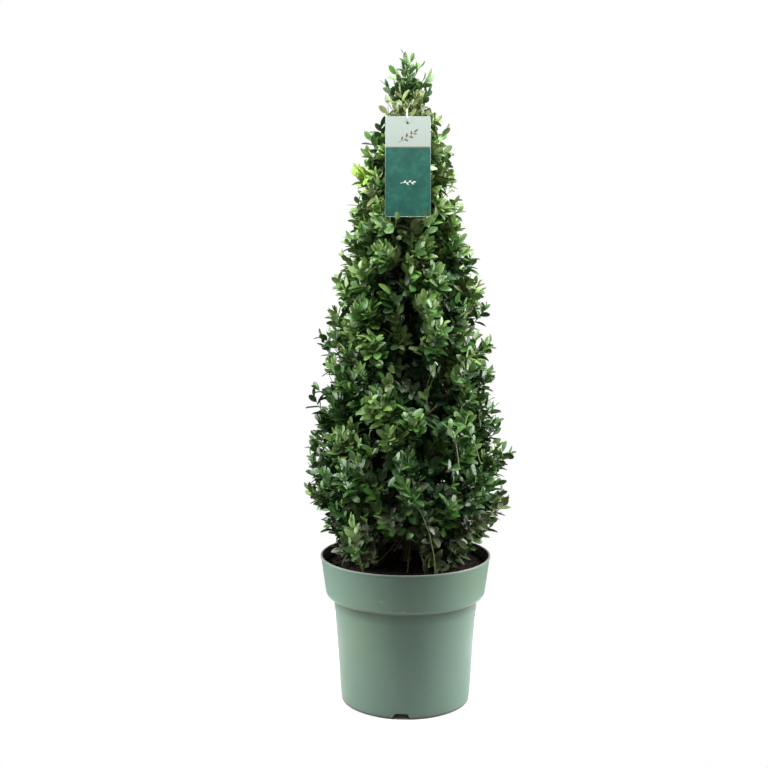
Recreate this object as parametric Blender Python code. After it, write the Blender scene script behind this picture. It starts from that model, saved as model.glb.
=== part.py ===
"""A Japanese holly clipped to a pyramid, in the plastic nursery pot that it is sold in.

Units are metres and +Z is up. The pot stands on z = 0, the crown's axis is the Z axis, and the front,
where the price tag hangs, faces -Y.
"""

import math
import random
from collections import namedtuple

import bmesh
import bpy
import numpy as np
from mathutils import Matrix, Vector

GAP = 0.0003  # between solids that touch or rest on each other

# Pot, a 21 cm nursery pot
POT_HEIGHT = 0.180
RIM_RADIUS = 0.105
RIM_LEAN = 0.0010
COLLAR_FOOT = 0.136
COLLAR_FOOT_RADIUS = 0.0985
STEP_FOOT = 0.1262
BODY_TOP_RADIUS = 0.0887
BASE_RADIUS = 0.0790
WALL = 0.0016
LIP_HEIGHT = 0.0022
LIP_REACH = 0.0008
EDGE_ROUND = 0.0005
FOOT_WIDTH = 0.0045
FOOT_CHAMFER = 0.0015
FLOOR_LIFT = 0.0070
BOSS_RADIUS = 0.020
BOSS_DRAFT = 0.0015
NOTCHES = 4
NOTCH_AZIMUTH = math.radians(-93.5)
NOTCH_SECTIONS = ((-0.0030, 0.0112), (0.0056, 0.0075), (0.0067, 0.0062))  # height, half width
DRAIN_HOLES = 8
DRAIN_RADIUS = 0.0055
DRAIN_CIRCLE = 0.049
CUTTER_REACH = 0.003
POT_SEGMENTS = 48

# Potting soil
SOIL_TOP = 0.1680
SOIL_MOUND = 0.0035
SOIL_LUMP = 0.0012
SOIL_RINGS = (0.88, 0.70, 0.52, 0.34, 0.16)

# Crown: a pyramid that is widest a little above the pot and pulled in below that
CROWN_TIP = 0.795
CROWN_WIDEST = 0.290
CROWN_RADIUS = 0.125
CROWN_POWER = 0.64
SKIRT_FOOT = 0.165
SKIRT_PULL = 0.44
SKIRT_POWER = 1.5
SHOOT_SLOPE = 1.0

# Trunk, the leader that runs up through the crown
TRUNK_FOOT = SOIL_TOP + SOIL_MOUND + GAP
TRUNK_TIP = 0.700
TRUNK_STEPS = 20
TRUNK_FOOT_RADIUS = 0.0050
TRUNK_TIP_RADIUS = 0.0014
TRUNK_SWAY = 0.0025
ROOT_FLARE = 0.0028
FLARE_HEIGHT = 0.012

# Boughs, from the trunk to the middle and upper masses
BOUGH_RADIUS = 0.0017
BOUGH_LIFT = 0.004
BOUGH_STEP = 0.006
BOUGH_RISE = 0.022
BOUGH_BELLY = 0.002

# Side stems of the clump, from the soil to the lower masses:
# foot radius and azimuth, then radius, azimuth and height where the stem enters its mass
STEM_FOOT_RADIUS = 0.0026
STEM_TIP_RADIUS = 0.0017
STEM_COLLAR = 0.0050
STEM_BELLY = 0.006
STEM_STEPS = 8
SIDE_STEMS = {
    "left": (0.053, 200, 0.068, 197, 0.224),
    "front": (0.054, 326, 0.046, 286, 0.238),
    "right": (0.062, 350, 0.073, 343, 0.226),
    "back_right": (0.050, 57, 0.068, 54, 0.226),
    "back_left": (0.051, 124, 0.068, 126, 0.226),
}

# Foliage: tiers of masses, each tier a ring of sectors between two layers of rising shoots
LOWER_SECTORS = ("left", "front", "right", "back_right", "back_left")
MIDDLE_SECTORS = ("front_left", "front_right", "back_right", "back_left")
UPPER_SECTORS = ("left", "right", "back")
Tier = namedtuple("Tier", "name sectors first_azimuth low high inner bough_reach twigs")
TIERS = (
    Tier("lower", LOWER_SECTORS, 198, 0.086, 0.325, 0.0240, None, 15),
    Tier("middle", MIDDLE_SECTORS, 225, 0.325, 0.500, 0.0225, 0.0195, 12),
    Tier("upper", UPPER_SECTORS, 210, 0.500, 0.672, 0.0180, 0.0150, 11),
)
TIP_TWIGS = 12
HOLLOW_FRONT_LOW = 0.112  # the front of the skirt starts higher, over the dark hollow by the stems
CORE_SHARE = 0.78
CORE_LUMP = 0.05
CORE_ENDS = 0.05
CORE_LAYERS = 5
CORE_TURNS = 4
CORE_MARGIN = 0.004
CORE_LIFT = 0.007
CORE_LIFT_RIGHT = 0.022  # the front side stem crosses under the right-hand mass
TIP_CORE = (0.0014, 0.0014, 0.0075, 0.0070, 0.0050, 0.0010)
TIP_STEM_DROP = 0.028
MASS_STEM_SHARE = 0.45
MASS_STEM_DROP = 0.030
MASS_STEM_TIP = 0.0010
SIDE_GAP = 0.0004
LAYER_GAP = 0.0020
OUTSIDE_ROOM = 0.004
LEAF_ROOM = 0.0006
LEAF_LENGTH = 0.032
LEAF_WIDTH = 0.0150
LEAF_THICKNESS = 0.0010
LEAF_WIDEST = 0.56
LEAVES_ON_TWIG = 4
LEAFY_SHARE = 0.28
FULL_LEAF_RADIUS = 0.045
TWIG_RADIUS = 0.0011
TWIG_ROOT_RADIUS = 0.0014
GOLDEN_ANGLE = math.pi * (3 - math.sqrt(5))
GOLDEN_SHARE = (math.sqrt(5) - 1) / 2

# Tag, a printed plastic card on a loop of cord
TAG_WIDTH = 0.053
TAG_HEIGHT = 0.1215
TAG_THICKNESS = 0.0008
TAG_CORNER = 0.0020
TAG_HOLE_RADIUS = 0.0025
TAG_HOLE_DROP = 0.0072
TAG_TOP = Vector((0.0025, -0.0445, 0.712))
TAG_TILT = math.radians(13.0)
TAG_ROOM = 0.003
TIE_RADIUS = 0.0007
TIE_HEIGHT = 0.6945
TIE_STEPS = 3


def clear_scene():
    for old in list(bpy.data.objects):
        bpy.data.objects.remove(old)


def material(name, colour, roughness):
    """A plain coloured finish; colour is linear red, green and blue."""
    made = bpy.data.materials.new(name)
    made.use_nodes = True
    shader = made.node_tree.nodes["Principled BSDF"]
    shader.inputs["Base Color"].default_value = (*colour, 1.0)
    shader.inputs["Roughness"].default_value = roughness
    shader.inputs["Metallic"].default_value = 0.0
    return made


def mesh_of(name, points, faces):
    """A mesh of these points and faces, with its faces turned outwards."""
    mesh = bpy.data.meshes.new(name)
    mesh.from_pydata([tuple(p) for p in points], [], faces)
    shape = bmesh.new()
    shape.from_mesh(mesh)
    bmesh.ops.recalc_face_normals(shape, faces=shape.faces)
    shape.to_mesh(mesh)
    shape.free()
    return mesh


def add_object(name, mesh, finish=None, smooth=True):
    made = bpy.data.objects.new(name, mesh)
    bpy.context.scene.collection.objects.link(made)
    if finish:
        mesh.materials.append(finish)
    if smooth:
        mesh.shade_smooth()
        mesh.set_sharp_from_angle(angle=math.radians(35))
    return made


def polar(radius, azimuth, height):
    return Vector((radius * math.cos(azimuth), radius * math.sin(azimuth), height))


def swept(path, radii, sides, closed=False):
    """Points and faces of a tube along a path, with a radius at each of its points."""
    count = len(path)
    points = []
    side = None
    for i, (place, radius) in enumerate(zip(path, radii)):
        if closed:
            along = path[(i + 1) % count] - path[i - 1]
        else:
            along = path[min(i + 1, count - 1)] - path[max(i - 1, 0)]
        along.normalize()
        side = along.orthogonal() if side is None else side
        side = (side - along * side.dot(along)).normalized()
        other = along.cross(side)
        for k in range(sides):
            turn = 2 * math.pi * k / sides
            points.append(place + radius * (side * math.cos(turn) + other * math.sin(turn)))
    rings = count if closed else count - 1
    faces = [
        (
            i * sides + k,
            i * sides + (k + 1) % sides,
            (i + 1) % count * sides + (k + 1) % sides,
            (i + 1) % count * sides + k,
        )
        for i in range(rings)
        for k in range(sides)
    ]
    if not closed:
        faces.append(tuple(range(sides)))
        faces.append(tuple(range((count - 1) * sides, count * sides)))
    return points, faces


def cutter(name, points, faces):
    """A helper shape that a Boolean takes away, left out of the model."""
    made = add_object(name, mesh_of(name, points, faces), smooth=False)
    made.hide_render = True
    made.display_type = "WIRE"
    return made


def cut_away(target, helper):
    modifier = target.modifiers.new("cut " + helper.name, "BOOLEAN")
    modifier.operation = "DIFFERENCE"
    modifier.object = helper


# Pot


def collar_arc(start, end, steps):
    """The rounded corner under the collar, a quarter of an ellipse, as (radius, height) pairs."""
    return [
        (
            end[0] + (start[0] - end[0]) * math.cos(turn),
            start[1] + (end[1] - start[1]) * math.sin(turn),
        )
        for turn in (math.pi / 2 * i / steps for i in range(1, steps + 1))
    ]


def outer_profile():
    """The outside of the pot's wall from its rim to its foot, as (radius, height) pairs."""
    return [
        (RIM_RADIUS - EDGE_ROUND, POT_HEIGHT),
        (RIM_RADIUS, POT_HEIGHT - EDGE_ROUND),
        (RIM_RADIUS, POT_HEIGHT - LIP_HEIGHT),
        (RIM_RADIUS - LIP_REACH, POT_HEIGHT - LIP_HEIGHT - LIP_REACH),
        (COLLAR_FOOT_RADIUS, COLLAR_FOOT),
        *collar_arc((COLLAR_FOOT_RADIUS, COLLAR_FOOT), (BODY_TOP_RADIUS + FOOT_CHAMFER, STEP_FOOT), 3),
        (BODY_TOP_RADIUS, STEP_FOOT - FOOT_CHAMFER),
        (BASE_RADIUS, FOOT_CHAMFER),
        (BASE_RADIUS - FOOT_CHAMFER, 0.0),
    ]


def inner_profile(inset=0.0):
    """The inside of the pot's wall from its floor to its rim, or a line this far within it."""
    floor_top = FLOOR_LIFT + WALL
    slope = (BODY_TOP_RADIUS - BASE_RADIUS) / STEP_FOOT
    return [
        (BASE_RADIUS + slope * floor_top - WALL - inset, floor_top + inset),
        (BODY_TOP_RADIUS - WALL - inset, STEP_FOOT + inset),
        (COLLAR_FOOT_RADIUS - WALL - inset, COLLAR_FOOT + inset),
        (RIM_RADIUS - WALL - RIM_LEAN - inset, POT_HEIGHT - EDGE_ROUND),
        (RIM_RADIUS - WALL - RIM_LEAN + EDGE_ROUND - inset, POT_HEIGHT),
    ]


def under_profile():
    """The underside from the ring that the pot stands on to its flat middle, as (radius, height) pairs."""
    return [
        (BASE_RADIUS - FOOT_WIDTH, 0.0),
        (BASE_RADIUS - FOOT_WIDTH, FLOOR_LIFT),
        (BOSS_RADIUS + BOSS_DRAFT, FLOOR_LIFT),
        (BOSS_RADIUS, 0.0),
    ]


def turned_solid(profile, segments):
    """Points and faces of a profile turned about Z, closed by a point on the axis at both ends."""
    count = len(profile)
    points = [
        polar(radius, 2 * math.pi * k / segments, height)
        for k in range(segments)
        for radius, height in profile
    ]
    first, last = len(points), len(points) + 1
    points += [Vector((0, 0, profile[0][1])), Vector((0, 0, profile[-1][1]))]
    faces = []
    for k in range(segments):
        after = (k + 1) % segments
        faces.append((first, after * count, k * count))
        faces.append((last, k * count + count - 1, after * count + count - 1))
        for i in range(count - 1):
            faces.append((k * count + i, after * count + i, after * count + i + 1, k * count + i + 1))
    return points, faces


def make_pot(finish):
    """The pot: one thin turned wall with a floor, notched at its foot and drilled to drain."""
    outline = inner_profile() + outer_profile() + under_profile()
    pot = add_object("pot", mesh_of("pot", *turned_solid(outline, POT_SEGMENTS)), finish)
    for k in range(NOTCHES):
        cut_away(pot, notch_cutter(k, NOTCH_AZIMUTH + 2 * math.pi * k / NOTCHES))
    for k in range(DRAIN_HOLES):
        centre = polar(DRAIN_CIRCLE, 2 * math.pi * (k + 0.5) / DRAIN_HOLES, FLOOR_LIFT)
        ends = [centre + Vector((0, 0, z)) for z in (-CUTTER_REACH, WALL + CUTTER_REACH)]
        cut_away(pot, cutter(f"drain_cutter_{k}", *swept(ends, [DRAIN_RADIUS] * 2, 12)))
    return pot


def notch_cutter(index, azimuth):
    """A wedge across the foot ring, wider at the ground than at its top."""
    turn = Matrix.Rotation(azimuth, 4, "Z")
    near = BASE_RADIUS - FOOT_WIDTH - CUTTER_REACH
    far = BASE_RADIUS + CUTTER_REACH
    points = [
        turn @ Vector((reach, side * half_width, height))
        for height, half_width in NOTCH_SECTIONS
        for reach in (near, far)
        for side in (-1, 1)
    ]
    top = len(points) - 4
    faces = [(0, 1, 3, 2), (top, top + 1, top + 3, top + 2)]
    for low in range(0, top, 4):
        faces += [(low + a, low + b, low + b + 4, low + a + 4) for a, b in ((0, 1), (1, 3), (3, 2), (2, 0))]
    return cutter(f"notch_cutter_{index}", points, faces)


def make_soil(finish):
    """Soil that fills the pot, crumbled on top and a little heaped towards the plant."""
    rng = random.Random(11)
    inside = inner_profile(GAP)
    collar_foot, rim = inside[2], inside[3]
    share = (SOIL_TOP - SOIL_LUMP - collar_foot[1]) / (rim[1] - collar_foot[1])
    edge = collar_foot[0] + (rim[0] - collar_foot[0]) * share
    rings = inside[:3] + [(edge, SOIL_TOP - SOIL_LUMP)]
    lumpy = range(len(rings), len(rings) + 3)
    rings += [(edge * share, soil_height(edge * share)) for share in SOIL_RINGS]
    points, faces = turned_solid(rings, POT_SEGMENTS)
    for k in range(POT_SEGMENTS):
        for ring in lumpy:
            points[k * len(rings) + ring].z -= SOIL_LUMP * rng.random()
    return add_object("potting_soil", mesh_of("potting_soil", points, faces), finish)


def soil_height(radius):
    """Height of the heaped soil at this distance from the axis, before its lumps are taken off."""
    return SOIL_TOP + SOIL_MOUND * (1 - (radius / RIM_RADIUS) ** 2)


# Crown


def crown_radius(height):
    """Distance from the axis to the clipped surface at a height."""
    if height >= CROWN_WIDEST:
        share = min(1.0, (height - CROWN_WIDEST) / (CROWN_TIP - CROWN_WIDEST))
        return CROWN_RADIUS * (1 - share) ** CROWN_POWER
    share = (CROWN_WIDEST - height) / (CROWN_WIDEST - SKIRT_FOOT)
    return CROWN_RADIUS * (1 - SKIRT_PULL * share**SKIRT_POWER)


def layer_of(place):
    """Height where a shoot through this place, rising outwards at the usual slope, would leave the axis."""
    return place.z - SHOOT_SLOPE * math.hypot(place.x, place.y)


def layer_point(layer, azimuth, share):
    """The point of a layer that lies at this share of the crown's radius."""
    radius = 0.05
    for _ in range(40):
        radius = 0.5 * radius + 0.5 * share * crown_radius(layer + SHOOT_SLOPE * radius)
    return polar(radius, azimuth, layer + SHOOT_SLOPE * radius)


class Limbs:
    """The woody limbs and the tag, as spheres that no leaf may touch."""

    def __init__(self):
        self.centres = []
        self.radii = []

    def add(self, path, radii):
        for (a, ra), (b, rb) in zip(zip(path, radii), zip(path[1:], radii[1:])):
            steps = max(1, math.ceil((b - a).length / 0.001))
            for i in range(steps + 1):
                self.centres.append(a.lerp(b, i / steps))
                self.radii.append(ra + (rb - ra) * i / steps)

    def clear(self, points, room):
        """Whether all of these points keep this much room to every sphere."""
        centres = np.array(self.centres)
        radii = np.array(self.radii)
        places = np.array(points)
        away = np.linalg.norm(places[:, None] - centres[None], axis=2)
        return bool((away > radii[None] + room).all())


def make_limb(name, path, radii, sides, finish, limbs):
    limbs.add(path, radii)
    return add_object(name, mesh_of(name, *swept(path, radii, sides)), finish)


def trunk_centre(height):
    """The leader's centre at a height: nearly straight, with a slow sway."""
    sway = TRUNK_SWAY * math.sin(2.5 * math.pi * (height - TRUNK_FOOT) / (TRUNK_TIP - TRUNK_FOOT))
    return Vector((sway, 0.4 * sway, height))


def trunk_radius(height):
    """The leader's radius at a height, with the flare of its roots at the soil."""
    share = (height - TRUNK_FOOT) / (TRUNK_TIP - TRUNK_FOOT)
    flare = ROOT_FLARE * max(0.0, 1 - (height - TRUNK_FOOT) / FLARE_HEIGHT) ** 2
    return TRUNK_FOOT_RADIUS + (TRUNK_TIP_RADIUS - TRUNK_FOOT_RADIUS) * share + flare


def trunk_path():
    """The leader, from its flat foot on the soil to where the shoots of the tip take over."""
    above_flare = TRUNK_FOOT + FLARE_HEIGHT
    heights = [TRUNK_FOOT, TRUNK_FOOT + FLARE_HEIGHT / 3]
    heights += [above_flare + (TRUNK_TIP - above_flare) * i / TRUNK_STEPS for i in range(TRUNK_STEPS + 1)]
    return [trunk_centre(h) for h in heights], [trunk_radius(h) for h in heights]


def bough_path(azimuth, height, reach, rise):
    """A bough: square out of the trunk's bark, then curving up to its tip inside a mass."""
    out = polar(1, azimuth, 0)
    foot = trunk_centre(height) + out * (trunk_radius(height) + GAP)
    knee = foot + out * BOUGH_RADIUS
    tip = polar(reach, azimuth, height + rise)
    return [foot] + curved(knee, knee.lerp(tip, 0.5) + out * BOUGH_BELLY, tip, 4)


def curved(start, middle, end, steps):
    """A quadratic curve from start to end, drawn towards middle."""
    return [
        start * (1 - t) ** 2 + middle * 2 * t * (1 - t) + end * t**2
        for t in (i / steps for i in range(steps + 1))
    ]


def side_stem_path(foot_radius, foot_azimuth, entry_radius, entry_azimuth, entry_height):
    """A side stem: upright out of the soil from a flat foot, then leaning over to its mass."""
    foot = polar(foot_radius, math.radians(foot_azimuth), soil_height(foot_radius) + GAP)
    collar = foot + Vector((0, 0, STEM_COLLAR))
    entry = polar(entry_radius, math.radians(entry_azimuth), entry_height)
    return [foot] + curved(collar, collar.lerp(entry, 0.5) + Vector((0, 0, STEM_BELLY)), entry, STEM_STEPS)


def tapered(start, end, count):
    return [start + (end - start) * i / (count - 1) for i in range(count)]


# Foliage


class Mass:
    """One mass of foliage and the space that it keeps to: a sector between two layers.

    It grows on from the tip of its bearer, a bough, a side stem or the trunk.
    """

    def __init__(self, name, azimuth, spread, low, high, inner, bearer):
        self.name = name
        self.azimuth = azimuth
        self.half = spread / 2
        self.low = low
        self.high = high
        self.inner = inner
        self.heading = (bearer[-1] - bearer[-2]).normalized()
        self.entry = bearer[-1] + self.heading * GAP
        self.all_round = self.half >= math.pi

    def holds(self, points):
        """Whether all of these points lie in the space, with a gap to its neighbours."""
        return all(self.holds_point(p) for p in points)

    def holds_point(self, p):
        radius = math.hypot(p.x, p.y)
        if not self.low + SIDE_GAP < layer_of(p) < self.high - LAYER_GAP:
            return False
        if p.z > CROWN_TIP or radius > crown_radius(p.z) + OUTSIDE_ROOM:
            return False
        if p.z < soil_height(radius) + LAYER_GAP:
            return False
        if self.all_round:
            return True
        turn = math.remainder(math.atan2(p.y, p.x) - self.azimuth, 2 * math.pi)
        return radius * math.sin(min(self.half - abs(turn), math.pi / 2)) > SIDE_GAP

    def stem(self):
        """The mass's own stem, from its bearer's tip up to its highest shoots."""
        start = self.entry + self.heading * STEM_COLLAR
        if self.all_round:
            top = Vector((self.entry.x, self.entry.y, CROWN_TIP - TIP_STEM_DROP))
            return [self.entry] + [start.lerp(top, i / 4) for i in range(5)]
        top = layer_point(self.high - MASS_STEM_DROP, self.azimuth, MASS_STEM_SHARE)
        middle_layer = 0.5 * (max(self.low, layer_of(start)) + self.high)
        middle = layer_point(middle_layer, self.azimuth, MASS_STEM_SHARE)
        return [self.entry] + curved(start, middle * 1.5 - (start + top) * 0.25, top, 6)


def core_span(mass):
    """The lowest and highest layer of a mass's core; a skirt's core starts above its side stem."""
    low, high = mass.low + CORE_MARGIN, mass.high - CORE_MARGIN
    if mass.name.startswith("lower"):
        lift = CORE_LIFT_RIGHT if mass.name == "lower_right" else CORE_LIFT
        low = layer_of(mass.entry) + lift
    return low, high


def core_mesh(mass, rng):
    """The dense inside of a mass: a lumpy block between the trunk's hollow and the leafy shell."""
    low, high = core_span(mass)
    half = mass.half - 0.02
    inner = mass.inner / math.cos(half / (CORE_TURNS - 1))
    points = []
    for i in range(CORE_LAYERS):
        up = i / (CORE_LAYERS - 1)
        layer = low + (high - low) * up
        for k in range(CORE_TURNS):
            azimuth = mass.azimuth - half + 2 * half * k / (CORE_TURNS - 1)
            share = CORE_SHARE - CORE_ENDS * abs(2 * up - 1) ** 3 + CORE_LUMP * rng.uniform(-1, 1)
            points.append(layer_point(layer, azimuth, share))
            points.append(polar(inner, azimuth, layer + SHOOT_SLOPE * inner))

    def at(i, k, inside):
        return 2 * (i * CORE_TURNS + k) + inside

    faces = []
    for i in range(CORE_LAYERS - 1):
        for k in range(CORE_TURNS - 1):
            faces += [(at(i, k, s), at(i, k + 1, s), at(i + 1, k + 1, s), at(i + 1, k, s)) for s in (0, 1)]
        faces += [(at(i, k, 0), at(i + 1, k, 0), at(i + 1, k, 1), at(i, k, 1)) for k in (0, CORE_TURNS - 1)]
    for i in (0, CORE_LAYERS - 1):
        faces += [(at(i, k, 0), at(i, k, 1), at(i, k + 1, 1), at(i, k + 1, 0)) for k in range(CORE_TURNS - 1)]
    return mesh_of("core", points, faces)


def leaf_points(base, along, face, length):
    """A thin leaf of 8 faces: base, tip, two edges, and a raised and a lowered middle."""
    across = along.cross(face).normalized()
    face = across.cross(along).normalized()
    width = LEAF_WIDTH * length / LEAF_LENGTH
    middle = base + along * length * LEAF_WIDEST
    return [
        base,
        base + along * length,
        middle + across * width / 2,
        middle - across * width / 2,
        middle + face * LEAF_THICKNESS / 2,
        middle - face * LEAF_THICKNESS / 2,
    ]


LEAF_FACES = [(0, 2, 4), (2, 1, 4), (1, 3, 4), (3, 0, 4), (2, 0, 5), (1, 2, 5), (3, 1, 5), (0, 3, 5)]


def twigs_of(mass, count, rng):
    """Where each twig leaves the stem, and where on the clipped surface it points."""
    stem = mass.stem()
    low, high = layer_of(stem[1]), layer_of(stem[-1])
    twigs = []
    for i in range(count):
        layer = mass.low + 0.008 + (mass.high - mass.low - 0.020) * (i + 0.5) / count
        turn = (2 * ((0.5 + i * GOLDEN_SHARE) % 1) - 1) * (mass.half - 0.10)
        target = layer_point(layer, mass.azimuth + turn, 1.0 - 0.05 * rng.random())
        up = min(max((layer - low) / (high - low), 0.0), 1.0)
        place = 1 + up * (len(stem) - 2)
        below = min(int(place), len(stem) - 2)
        twigs.append((stem[below].lerp(stem[below + 1], place - below), target))
    return twigs


def leaves_on(start, target, rng):
    """Leaves in alternate order along a twig's leafy end: base, direction, face and length of each."""
    along = (target - start).normalized()
    side = along.orthogonal().normalized()
    turn = rng.uniform(0, 2 * math.pi)
    step = LEAFY_SHARE * crown_radius(target.z) / LEAVES_ON_TWIG
    full = LEAF_LENGTH * min(1.0, max(0.62, crown_radius(target.z) / FULL_LEAF_RADIUS))
    leaves = [(target - along * full * 0.6, along, side, full * 0.85)]
    for k in range(1, LEAVES_ON_TWIG):
        turn += GOLDEN_ANGLE + rng.uniform(-0.3, 0.3)
        lean = math.radians(rng.uniform(46, 64))
        out = Matrix.Rotation(turn, 3, along) @ side
        direction = (along * math.cos(lean) + out * math.sin(lean)).normalized()
        base = target - along * (0.62 * full + step * (k - 0.7))
        face = along + Vector((0, 0, 0.4)) + 0.2 * out
        leaves.append((base, direction, face, full * rng.uniform(0.85, 1.0)))
    return leaves


def outline_of(corners):
    """Points over a leaf that stand for it where its room is tested."""
    base, tip, left, right = corners[:4]
    middles = [base.lerp(left, 0.5), base.lerp(right, 0.5), tip.lerp(left, 0.5), tip.lerp(right, 0.5)]
    spine = [base.lerp(tip, share) for share in (0.25, 0.5, 0.75)]
    return corners[1:] + middles + spine


def fuse(name, start_mesh, bits, finish):
    """One closed mesh of the start mesh and the bits, by a Boolean union on a collection."""
    group = bpy.data.collections.new(name + "_bits")
    bpy.context.scene.collection.children.link(group)
    for points, faces in bits:
        group.objects.link(bpy.data.objects.new("bit", mesh_of("bit", points, faces)))
    made = add_object(name, start_mesh, smooth=False)
    union = made.modifiers.new("fuse", "BOOLEAN")
    union.operation = "UNION"
    union.operand_type = "COLLECTION"
    union.collection = group
    union.solver = "MANIFOLD"
    graph = bpy.context.evaluated_depsgraph_get()
    fused = bpy.data.meshes.new_from_object(made.evaluated_get(graph))
    made.modifiers.clear()
    made.data = fused
    for bit in list(group.objects):
        bpy.data.objects.remove(bit)
    bpy.data.collections.remove(group)
    keep_largest_shell(fused)
    fused.materials.clear()
    fused.materials.append(finish)
    return made


def keep_largest_shell(mesh):
    """Drops loose scraps and the walls of sealed hollows, which fills them."""
    shape = bmesh.new()
    shape.from_mesh(mesh)
    left = set(shape.verts)
    shells = []
    while left:
        seed = left.pop()
        shell, edge = {seed}, [seed]
        while edge:
            for joined in edge.pop().link_edges:
                for vertex in joined.verts:
                    if vertex in left:
                        left.discard(vertex)
                        shell.add(vertex)
                        edge.append(vertex)
        shells.append(shell)
    largest = max(shells, key=len)
    bmesh.ops.delete(shape, geom=[v for v in shape.verts if v not in largest], context="VERTS")
    bmesh.ops.recalc_face_normals(shape, faces=shape.faces)
    shape.to_mesh(mesh)
    shape.free()


def make_mass(mass, count, seed, finish, limbs):
    """A mass of foliage: its core, its stem, its twigs and their leaves, fused."""
    rng = random.Random(seed)
    stem = mass.stem()
    bits, leaves = [], []
    if mass.all_round:
        core = mesh_of("core", *swept(stem, TIP_CORE, 6))
        up = Vector((0, 0, 1))
        leaves.append((stem[-1] - up * 0.003, up, Vector((0, 1, 0)), TIP_STEM_DROP + 0.0025))
    else:
        core = core_mesh(mass, rng)
        bits.append(swept(stem, tapered(BOUGH_RADIUS, MASS_STEM_TIP, len(stem)), 4))
    for root, target in twigs_of(mass, count, rng):
        end = target - (target - root).normalized() * LEAF_LENGTH * 0.5
        along = [root.lerp(end, i / 12) for i in range(13)]
        if mass.holds([end]) and limbs.clear(along, TWIG_ROOT_RADIUS + GAP):
            bits.append(swept([root, end], [TWIG_ROOT_RADIUS, TWIG_RADIUS], 3))
            leaves += leaves_on(root, target, rng)
    for leaf in leaves:
        corners = leaf_points(*leaf)
        tested = outline_of(corners)
        if mass.holds(tested) and limbs.clear(tested, LEAF_ROOM):
            bits.append((corners, LEAF_FACES))
    return fuse("foliage_" + mass.name, core, bits, finish)


def grow_crown(bark, leaf_green, limbs):
    """The trunk, the side stems and boughs, and then every mass of foliage round them."""
    trunk, trunk_radii = trunk_path()
    make_limb("trunk", trunk, trunk_radii, 8, bark, limbs)
    masses = []
    for tier in TIERS:
        spread = 2 * math.pi / len(tier.sectors)
        for k, sector in enumerate(tier.sectors):
            azimuth = math.radians(tier.first_azimuth) + k * spread
            if tier.name == "lower":
                bearer = side_stem_path(*SIDE_STEMS[sector])
                radii = tapered(STEM_FOOT_RADIUS, STEM_TIP_RADIUS, len(bearer))
                make_limb(f"stem_{sector}", bearer, radii, 6, bark, limbs)
            else:
                height = tier.low + BOUGH_LIFT + BOUGH_STEP * k
                bearer = bough_path(azimuth, height, tier.bough_reach, BOUGH_RISE)
                radii = [BOUGH_RADIUS] * len(bearer)
                make_limb(f"bough_{tier.name}_{sector}", bearer, radii, 6, bark, limbs)
            low = HOLLOW_FRONT_LOW if (tier.name, sector) == ("lower", "front") else tier.low
            mass = Mass(f"{tier.name}_{sector}", azimuth, spread, low, tier.high, tier.inner, bearer)
            masses.append((mass, tier.twigs))
    masses.append((Mass("tip", 0.0, 2 * math.pi, TIERS[-1].high, CROWN_TIP, 0.0, trunk), TIP_TWIGS))
    for seed, (mass, count) in enumerate(masses, start=100):
        make_mass(mass, count, seed, leaf_green, limbs)


# Tag and its loop


def tag_point(across, down, out=0.0):
    """A point of the tag's card: across to the right, down from its top edge, out from its middle plane."""
    turn = Matrix.Rotation(-TAG_TILT, 3, "X")
    return TAG_TOP + turn @ Vector((across, -out, -down))


def tag_outline():
    """The card's outline with rounded corners, as (across, down) pairs."""
    outline = []
    for side, down, first in ((1, 0, 0.0), (-1, 0, 0.5), (-1, 1, 1.0), (1, 1, 1.5)):
        centre_down = TAG_HEIGHT - TAG_CORNER if down else TAG_CORNER
        for i in range(5):
            turn = math.pi * (first + 0.125 * i)
            across = side * (TAG_WIDTH / 2 - TAG_CORNER) + TAG_CORNER * math.cos(turn)
            outline.append((across, centre_down - TAG_CORNER * math.sin(turn)))
    return outline


def make_tag(finish):
    """The card: a thin plate with a punched hole."""
    outline = tag_outline()
    count = len(outline)
    points = [tag_point(x, d, side * TAG_THICKNESS / 2) for side in (1, -1) for x, d in outline]
    faces = [tuple(range(count)), tuple(range(2 * count - 1, count - 1, -1))]
    faces += [(k, (k + 1) % count, count + (k + 1) % count, count + k) for k in range(count)]
    tag = add_object("tag", mesh_of("tag", points, faces), finish)
    punch = [tag_point(0, TAG_HOLE_DROP, out) for out in (-CUTTER_REACH, CUTTER_REACH)]
    cut_away(tag, cutter("tag_hole_cutter", *swept(punch, [TAG_HOLE_RADIUS] * 2, 16)))
    return tag


def smooth_loop(stations, steps):
    """A closed curve through the stations, as Catmull and Rom's spline."""
    count = len(stations)
    path = []
    for i in range(count):
        a, b, c, d = (stations[(i + k) % count] for k in (-1, 0, 1, 2))
        for j in range(steps):
            t = j / steps
            square, cube = 2 * a - 5 * b + 4 * c - d, 3 * b - a - 3 * c + d
            path.append(0.5 * (2 * b + (c - a) * t + square * t**2 + cube * t**3))
    return path


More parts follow.
